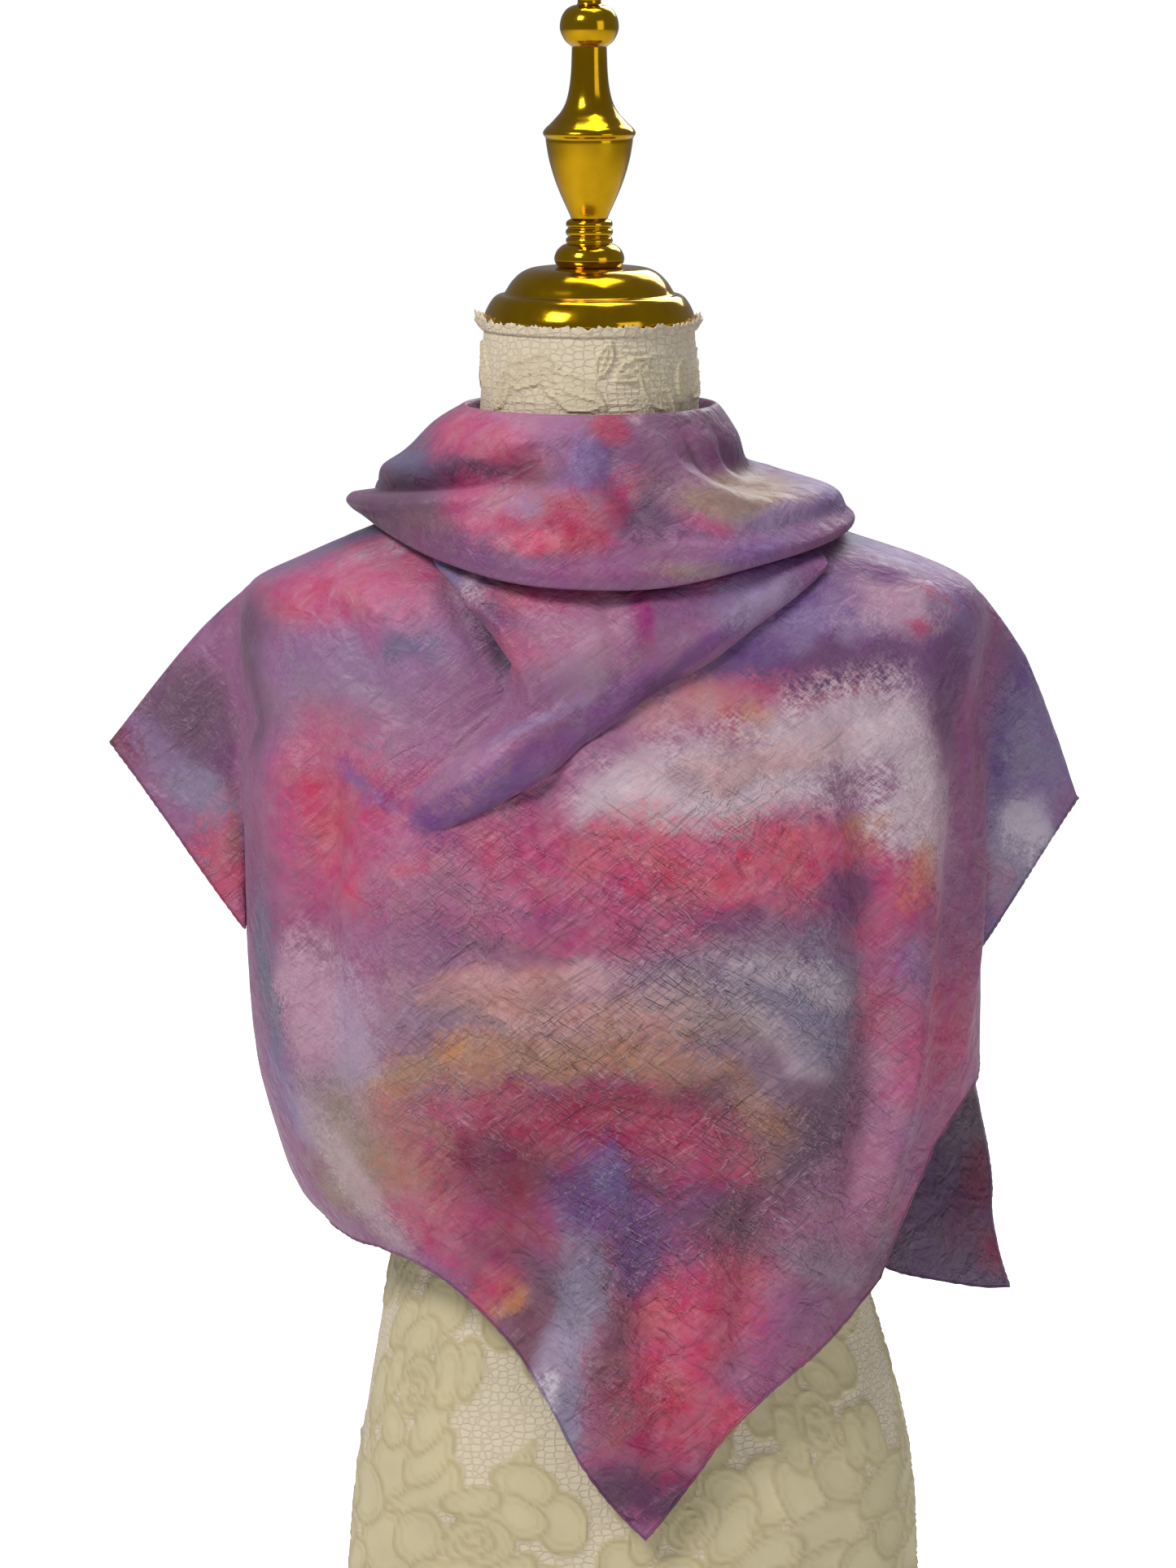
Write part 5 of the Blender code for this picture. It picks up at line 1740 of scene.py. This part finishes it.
def make_wing(row, material):
    """One corner of the square, over a shoulder."""
    name, side = row[:2]
    grid, angle, height, free = wing_grid(row)
    own = dyed(grid, grid[..., 0] * 1000, grid[..., 2] * 1000, "lilac" if side > 0 else "mauve",
               WING_DYES[name])
    share = smooth_step(*WING_DYE_BLEND, free)[..., None]
    colour = cape_dye(grid, angle, height) * (1 - share) + own * share
    make_silk("wing_" + name, material, grid, colour, CRUMPLE["wing"],
              LOWEST_ROW)


def round_neck(radius, height, angle):
    """Points round the neck's axis."""
    radius, height, turn = np.broadcast_arrays(radius, height, np.radians(angle))
    return np.stack([NECK_X + radius * np.sin(turn), -radius * np.cos(turn), height], -1)


def cowl_grid():
    """The cowl's middle: a smooth roll through the construction's rings."""
    closed = [(COWL_ROWS[-1][0] - 360.0, *COWL_ROWS[-1][1:]), *COWL_ROWS,
              (180.0, *COWL_ROWS[0][1:]), (COWL_ROWS[1][0] + 360.0, *COWL_ROWS[1][1:])]
    angle = -180.0 + np.arange(COWL_COLUMNS) * 360.0 / COWL_COLUMNS
    shoulder_r, shoulder_z, full_r, full_z, lip_r, lip_z = np.moveaxis(
        smooth_columns(closed, angle), -1, 0)
    tucks = [cape_points(angle, level) + outward(cape_points, angle, level) * LAYER_STEP
             for level in COWL_TUCK_LEVELS]
    tucks[0] = tucks[0] + outward(cape_points, angle, COWL_TUCK_LEVELS[0]) * COWL_TUCK_RISE
    rings = [
        (COWL_INNER, COWL_TOP - 0.018),
        (COWL_INNER, COWL_TOP - 0.006),
        (COWL_INNER + 0.0022, COWL_TOP),
        (COWL_INNER + 0.0062, COWL_TOP - 0.0015),
        ((shoulder_r + COWL_INNER + 0.008) / 2, (shoulder_z + COWL_TOP) / 2 + 0.001),
        (shoulder_r, shoulder_z),
        ((shoulder_r + full_r) / 2 + 0.001, (shoulder_z + full_z) / 2 + 0.001),
        (full_r, full_z + 0.002),
        ((full_r + lip_r) / 2 + 0.0012, (full_z + lip_z) / 2 + 0.001),
        (lip_r, lip_z + 0.0030),
        (lip_r - 0.0040, lip_z - 0.0010),
    ]
    knots = np.stack([*(round_neck(radius, height, angle) for radius, height in rings), *tucks])
    steps = np.concatenate([np.linspace(k, k + 1, count, endpoint=False)
                            for k, count in enumerate(COWL_SPANS)] + [[len(COWL_SPANS)]])
    rows = np.column_stack([np.arange(len(knots)), knots.reshape(len(knots), -1)])
    return smooth_columns(rows, steps).reshape(len(steps), COWL_COLUMNS, 3), angle, steps


def make_cowl(material):
    """The roll round the neck, with its folds and its deep pocket."""
    grid, angle, steps = cowl_grid()
    outside = (smooth_step(*COWL_FOLDS_IN, steps) * smooth_step(*COWL_FOLDS_OUT, steps))[:, None]
    up = grid[..., 2] * 1000
    lift = np.zeros(grid.shape[:2])
    folds = [(half, deep, *[(a * COWL_MM_PER_DEG, z) for a, z in points])
             for half, deep, *points in COWL_FOLDS]
    for turns in (-360.0, 0.0):
        run = np.broadcast_to((angle[None] - turns) * COWL_MM_PER_DEG, lift.shape)
        lift += fold_field(run, up, folds)
    lift = lift + crinkles(grid, angle[None] * COWL_MM_PER_DEG + 0 * lift, up, 0.12)
    normals = grid_normals(grid, ring=True)
    grid = grid + normals * (lift * COWL_FOLD_DEPTH * outside)[..., None]
    grid = pocket_fold(grid, angle, up)
    across, up = grid[..., 0] * 1000, grid[..., 2] * 1000
    front = dyed(grid, across, up, "dim_mauve", COWL_FRONT_DYES, fray=0.45)
    back = dyed(grid, across, up, "dim_mauve", COWL_BACK_DYES, fray=0.6)
    share = smooth_step(*COWL_SIDES, grid[..., 1])[..., None]
    make_silk("cowl", material, grid, front * (1 - share) + back * share, CRUMPLE["cowl"],
              ring=True)


def pocket_fold(grid, angle, up):
    """The deep fold low on the cowl's left: the upper roll hangs over the lower one."""
    path = bent_path([(a * COWL_MM_PER_DEG, z) for a, z in POCKET_PATH], 5)
    run = np.broadcast_to(angle[None] * COWL_MM_PER_DEG, up.shape)
    gap, along = path_distance(run, up, path)
    above = up - np.interp(run, path[:, 0], path[:, 1])
    ends = np.sin(np.pi * np.clip(along, 0.0, 1.0) ** 0.8) ** 0.8
    ends = np.where((run < path[0, 0]) | (run > path[-1, 0]), 0.0, ends)
    roll = np.exp(-(((above - POCKET_ROLL[0]) / POCKET_ROLL[1]) ** 2)) * POCKET_ROLL[2]
    groove = -np.exp(-((np.maximum(above, 0) / POCKET_GROOVE[0]) ** 1.6)) * POCKET_GROOVE[1]
    lower = np.exp(-(((above + POCKET_LOWER[0]) / POCKET_LOWER[1]) ** 2)) * POCKET_LOWER[2]
    over = smooth_step(-POCKET_STEP, POCKET_STEP, above)
    near = smooth_step(*POCKET_FADE, gap) * ends
    reach = ((roll + groove) * over + lower * (1 - over)) * near
    grid = grid.copy()
    grid[..., :2] += unit(grid[..., :2] - np.array([NECK_X, 0.0])) * reach[..., None]
    return grid


def swag_grid():
    """The swag's middle, from its upper edge under the cowl to its lower fold."""
    rows = [(k, *row) for k, row in enumerate(SWAG_ROWS)]
    at = np.linspace(0, len(SWAG_ROWS) - 1, SWAG_RIBS)
    upper_x, upper_z, lower_x, lower_z, lift = np.moveaxis(smooth_columns(rows, at), -1, 0)
    t = np.linspace(0, 1, SWAG_STEPS)[:, None]
    x = upper_x + (lower_x - upper_x) * t
    height = upper_z + (lower_z - upper_z) * t
    levels = np.linspace(height.min() - 0.002, height.max() + 0.002, SWAG_LEVELS)
    table = np.stack([cape_points(FRONT_ANGLES, z)[:, 0] for z in levels])
    angle = np.zeros_like(x)
    spot = (height - levels[0]) / (levels[1] - levels[0])
    base = np.clip(spot.astype(int), 0, len(levels) - 2)
    for k in range(len(levels) - 1):
        inside = base == k
        low = np.interp(x[inside], table[k], FRONT_ANGLES)
        high = np.interp(x[inside], table[k + 1], FRONT_ANGLES)
        part = spot[inside] - k
        angle[inside] = low * (1 - part) + high * part
    crown = lift * np.sin(np.pi * t**1.25) ** 0.8
    return crown, x * 1000, height, t, at, angle


def make_swag(material):
    """The fold from the right of the neck down to the left chest."""
    crown, across, height, t, at, angle = swag_grid()
    points = cape_points(angle, height)
    up = height * 1000
    inner = smooth_step(0.0, 0.12, t) * smooth_step(1.0, 0.86, t)
    merge = smooth_step(SWAG_MERGE_FROM, SWAG_MERGE_FULL, at)[None] * smooth_step(0.55, 0.0, t)
    tip = smooth_step(len(SWAG_ROWS) - 1.8, len(SWAG_ROWS) - 1.0, at)[None] + 0 * t
    merge = np.maximum(merge, tip)
    lift = crown + fold_field(across, up, SWAG_FOLDS) * inner
    lift = SWAG_STEP + np.maximum(lift + crinkles(points, across, up, 0.2) * inner, 0.0)
    sunk = front_relief(points, run_at(angle), up) - SWAG_SUNK
    lift = lift * (1 - merge) + np.minimum(sunk, lift) * merge
    under = smooth_step(1.0 - SWAG_UNDER, 1.0, t) * (1 - merge)
    lift = lift - (lift - LAYER_STEP * 0.8) * under**2
    grid = points + outward(cape_points, angle, height) * lift[..., None]
    own = dyed(grid, across, up, "mauve", SWAG_DYES, fray=0.8)
    share = smooth_step(0.25, 0.95, merge)[..., None]
    colour = own * (1 - share) + cape_dye(grid, angle, height) * share
    make_silk("swag", material, grid[:, ::-1], colour[:, ::-1],
              CRUMPLE["swag"] + SWAG_CRUMPLE_AT_CHEST * merge)


def rose_field(along, over, radius, turn_deg):
    """Relief and cord of one rose: overlapping petals round a heart of nested crescents."""
    out, side = turned(along, over, math.radians(turn_deg))
    out, side = out / ROSE_STRETCH, side / ROSE_SQUASH
    relief, cord = np.zeros(np.shape(along)), np.zeros(np.shape(along))
    shapes = []
    for count, reach, size, squash, offset in ROSE_RINGS:
        for k in range(count):
            swing = math.radians(offset + k * 360 / count + 9 * math.sin(k * 2.4 + turn_deg))
            length = size * radius * (1 + 0.16 * math.cos(k * 1.7 + turn_deg))
            shapes.append((reach * radius, swing, length, length * squash))
    for reach, size, swing_deg in ROSE_CRESCENTS:
        shapes.append((reach * radius, math.radians(swing_deg), size * radius, size * radius * 0.9))
    for reach, swing, length, width in shapes:
        forth, aside = turned(out - reach * math.cos(swing), side - reach * math.sin(swing), swing)
        distance = (1 - np.hypot(forth / width, aside / length)) * min(width, length)
        inside = distance > 0
        edge = np.exp(-((distance - 1.7) / 1.3) ** 2)
        vein = 0.45 * np.exp(-((distance - 6.0) / 0.9) ** 2)
        relief = np.where(inside, 0.40 + 0.25 * smooth_step(0, 3.0, distance), relief)
        cord = np.where(inside, np.maximum(edge, vein), np.maximum(cord, edge * (distance > -1)))
    return relief, cord


def leaf_field(along, over, half_length, half_width, turn_deg):
    """Relief and cord of one leaf: its edge, its middle vein and its ribs."""
    out, side = turned(along, over, math.radians(turn_deg))
    part = np.clip(1 - (out / half_length) ** 2, 0, 1)
    distance = part * half_width - np.abs(side)
    inside = (distance > 0) & (np.abs(out) < half_length)
    edge = np.exp(-((distance - 1.2) / 1.0) ** 2)
    vein = np.exp(-(side / 0.9) ** 2) * (np.abs(out) < half_length * 0.8)
    ribs = 0.35 * (0.5 + 0.5 * np.sin((out + np.abs(side) * 1.2) / 3.2 * math.tau / 1.4))
    cord = np.where(inside, np.maximum(np.maximum(edge, vein), ribs), 0.0)
    return np.where(inside, 0.5, 0.0), cord


def cover_relief(angle, height):
    """How far the lace stands up, and where it is flower or cord, over the whole form."""
    up = height * 1000
    body_run = np.radians(angle) * BODY_RADIUS
    shift_along, shift_over = (
        1.6 * soft_noise(np.stack([body_run, up, 0 * up], -1), 14.0, seed) for seed in (71, 72))
    relief, cord = np.zeros(np.shape(up)), np.zeros(np.shape(up))
    # Table, shape, radius, how far past its size a shape is looked for, whether the body's
    # wobble moves it along, and above what height it may lie
    for table, field, radius, reach, wobbles, lowest in (
            (BODY_LEAVES, leaf_field, BODY_RADIUS, 1.55, 1, -1),
            (BODY_ROSES, rose_field, BODY_RADIUS, 1.55, 1, -1),
            (NECK_LEAVES, leaf_field, NECK_RADIUS, 1.2, 0, 720)):
        run = np.radians(angle) * radius
        whole_turn = 2 * math.pi * radius
        for at_angle, at_height, *shape in table:
            along = run - math.radians(at_angle) * radius
            along = (along + whole_turn / 2) % whole_turn - whole_turn / 2
            over = up - at_height
            near = (np.hypot(along, over) < shape[0] * reach) & (up > lowest)
            got, got_cord = field(along[near] + shift_along[near] * wobbles,
                                  over[near] + shift_over[near], *shape)
            relief[near] = np.where(got > 0, got, relief[near])
            cord[near] = np.where(got > 0, got_cord, np.maximum(cord[near], got_cord))
    return relief, cord


def make_form_cover(material):
    """The dress form in its lace cover, finely stepped only where it shows."""
    parts = [np.array([0.0])]
    for (low, _), (high, step) in zip(COVER_KNOTS[:-1], COVER_KNOTS[1:]):
        parts.append(np.linspace(low, high, int(round((high - low) / step)) + 1)[1:])
    heights = np.concatenate(parts)[::-1]
    angles = np.arange(COVER_COLUMNS) * 360.0 / COVER_COLUMNS - 180.0
    angle, height = np.broadcast_arrays(angles[None], heights[:, None])
    points = form_points(angle, height)
    relief, cord = cover_relief(angle, height)
    neck = smooth_step(*NECK_STARTS, height)
    shows = np.clip(1 - smooth_step(*LACE_ENDS, height) + neck, 0, 1)
    lift = (relief * PETAL_RISE + cord * CORD_RISE
            + neck_ripples(angle, height) * RIPPLE_RISE) * shows
    net = soft_noise(points * 1000, 5.0, 81) * NET_RISE
    normals = outward(form_points, angle, height)
    thing = capped_ring("form_cover", points + normals * (lift + net * shows)[..., None])
    tint = 1 - NECK_TINT * neck
    paint(thing, "flower", (np.clip(relief * 1.6, 0, 1) * tint).ravel())
    paint(thing, "cord", (np.clip(cord, 0, 1) * tint).ravel())
    clad(thing, material, ("form_torso",))


def neck_ripples(angle, height):
    """Rows of small gathers across the neck's cover, in patches."""
    run = np.radians(angle) * NECK_RADIUS
    up = height * 1000
    place = np.stack([run, up, 0 * up], -1)
    wave = np.sin((up + 0.8 * soft_noise(place, 9.0, 75)) / 3.1 * math.tau)
    patch = smooth_step(-0.05, 0.35, soft_noise(place, 24.0, 76)) * smooth_step(772, 762, up)
    shown = np.exp(-(((run - 18) / 17) ** 2)) + 0.7 * patch
    return np.clip(wave, 0, 1) * np.clip(shown, 0, 1) * smooth_step(722, 732, up)


def make_fray(material):
    """The cover's cut edge at the top of the neck: a short frayed frill beside the flange."""
    angle = np.arange(FRAY_COLUMNS) * 360.0 / FRAY_COLUMNS
    turn = np.radians(angle)
    ring = np.stack([np.cos(turn), np.sin(turn), 0 * turn], -1)
    tuft = sum(amount * np.exp(-(((angle - middle + 180) % 360 - 180) / half) ** 2)
               for middle, half, amount in FRAY_TUFTS)
    ragged = soft_noise(ring * 200, 5.0, 91) + 0.8 * soft_noise(ring * 200, 2.2, 92)
    rise = 0.0022 + 0.0012 * ragged + tuft * (0.0030 + 0.0018 * ragged)
    flare = 0.0006 + 0.0010 * np.abs(ragged) + tuft * 0.0026
    t = np.linspace(1, 0, FRAY_ROWS)[:, None]
    grid = round_neck(FRAY_RADIUS + flare * t**0.8,
                      NECK_TOP - FRAY_DEPTH + (FRAY_DEPTH + rise) * t, angle)
    thing = closed_sheet("form_fray", grid, FRAY_HALF, ring=True)
    for name in ("flower", "cord"):
        paint(thing, name, np.zeros(len(thing.data.vertices)))
    clad(thing, material)


def rounded_profile(profile, per_span=6):
    """A turned profile with its short corners eased, as polishing leaves them."""
    return bent_path(profile[:-1], per_span)


def make_finial(material):
    """Flange, bead, vase and ball, turned about the neck's axis."""
    foot = NECK_TOP + SEAM_GAP
    angles = np.arange(TURNED_STEPS) * 360.0 / TURNED_STEPS
    for name, profile in (("flange", FLANGE_PROFILE), ("bead", BEAD_PROFILE),
                          ("vase", VASE_PROFILE), ("ball", BALL_PROFILE)):
        path = rounded_profile(profile)[::-1]
        thing = capped_ring("brass_" + name,
                            round_neck(path[:, :1], foot + path[:, 1:], angles))
        clad(thing, material, ("finial_" + name,))
        foot += profile[-2][1] + SEAM_GAP


def make_stage():
    """A wide white floor."""
    points = [(x * STAGE_HALF, y * STAGE_HALF, 0.0)
              for x, y in ((-1, -1), (1, -1), (1, 1), (-1, 1))]
    thing = mesh_object("studio_floor", points, [(0, 1, 2, 3)])
    thing.data.materials.append(stage_material("studio_paper", 0.93))


def make_air():
    """Soft light from all round, in front of a white background."""
    world = bpy.data.worlds.new("studio_air")
    bpy.context.scene.world = world
    world.use_nodes = True
    tree = world.node_tree
    soft = tree.nodes["Background"]
    soft.inputs["Color"].default_value = (0.80, 0.82, 0.86, 1.0)
    soft.inputs["Strength"].default_value = AIR_GLOW
    white = tree.nodes.new("ShaderNodeBackground")
    white.inputs["Color"].default_value = (1.0, 1.0, 1.0, 1.0)
    white.inputs["Strength"].default_value = AIR_SEEN
    seen = tree.nodes.new("ShaderNodeLightPath")
    pick = tree.nodes.new("ShaderNodeMixShader")
    tree.links.new(seen.outputs["Is Camera Ray"], pick.inputs["Fac"])
    tree.links.new(soft.outputs["Background"], pick.inputs[1])
    tree.links.new(white.outputs["Background"], pick.inputs[2])
    tree.links.new(pick.outputs["Shader"], tree.nodes["World Output"].inputs["Surface"])


def make_light(name, place, size, power, tint):
    """A soft panel of light, turned to the middle of the object."""
    light = bpy.data.lights.new(name, "AREA")
    light.shape = "RECTANGLE"
    light.size, light.size_y = size
    light.energy = power
    light.color = tint
    thing = bpy.data.objects.new(name, light)
    thing.location = place
    thing.rotation_euler = (LIGHT_TARGET - Vector(place)).to_track_quat("-Z", "Y").to_euler()
    bpy.context.scene.collection.objects.link(thing)


def make_camera():
    """The photograph's view, a little from above."""
    camera = bpy.data.cameras.new("photo_camera")
    camera.sensor_fit = "VERTICAL"
    camera.sensor_height = SENSOR_HEIGHT
    camera.lens = PIXELS_PER_METRE * CAMERA_DISTANCE / PICTURE_HEIGHT * SENSOR_HEIGHT
    thing = bpy.data.objects.new("photo_camera", camera)
    drop = math.radians(CAMERA_DROP_DEG)
    way_back = Vector((0.0, -math.cos(drop), math.sin(drop)))
    thing.location = CAMERA_TARGET + way_back * CAMERA_DISTANCE
    thing.rotation_euler = (CAMERA_TARGET - thing.location).to_track_quat("-Z", "Y").to_euler()
    bpy.context.scene.collection.objects.link(thing)
    bpy.context.scene.camera = thing


def main():
    """Makes every piece, then the stage and the light."""
    bpy.context.scene.view_settings.view_transform = "Standard"
    make_camera()
    silk = silk_material()
    cover = cover_material()
    brass = brass_material()
    make_front(silk)
    make_back(silk)
    make_tail(silk)
    for row in WING_ROWS:
        make_wing(row, silk)
    make_cowl(silk)
    make_swag(silk)
    make_form_cover(cover)
    make_fray(cover)
    make_finial(brass)
    make_stage()
    make_air()
    for light in LIGHTS:
        make_light(*light)


main()
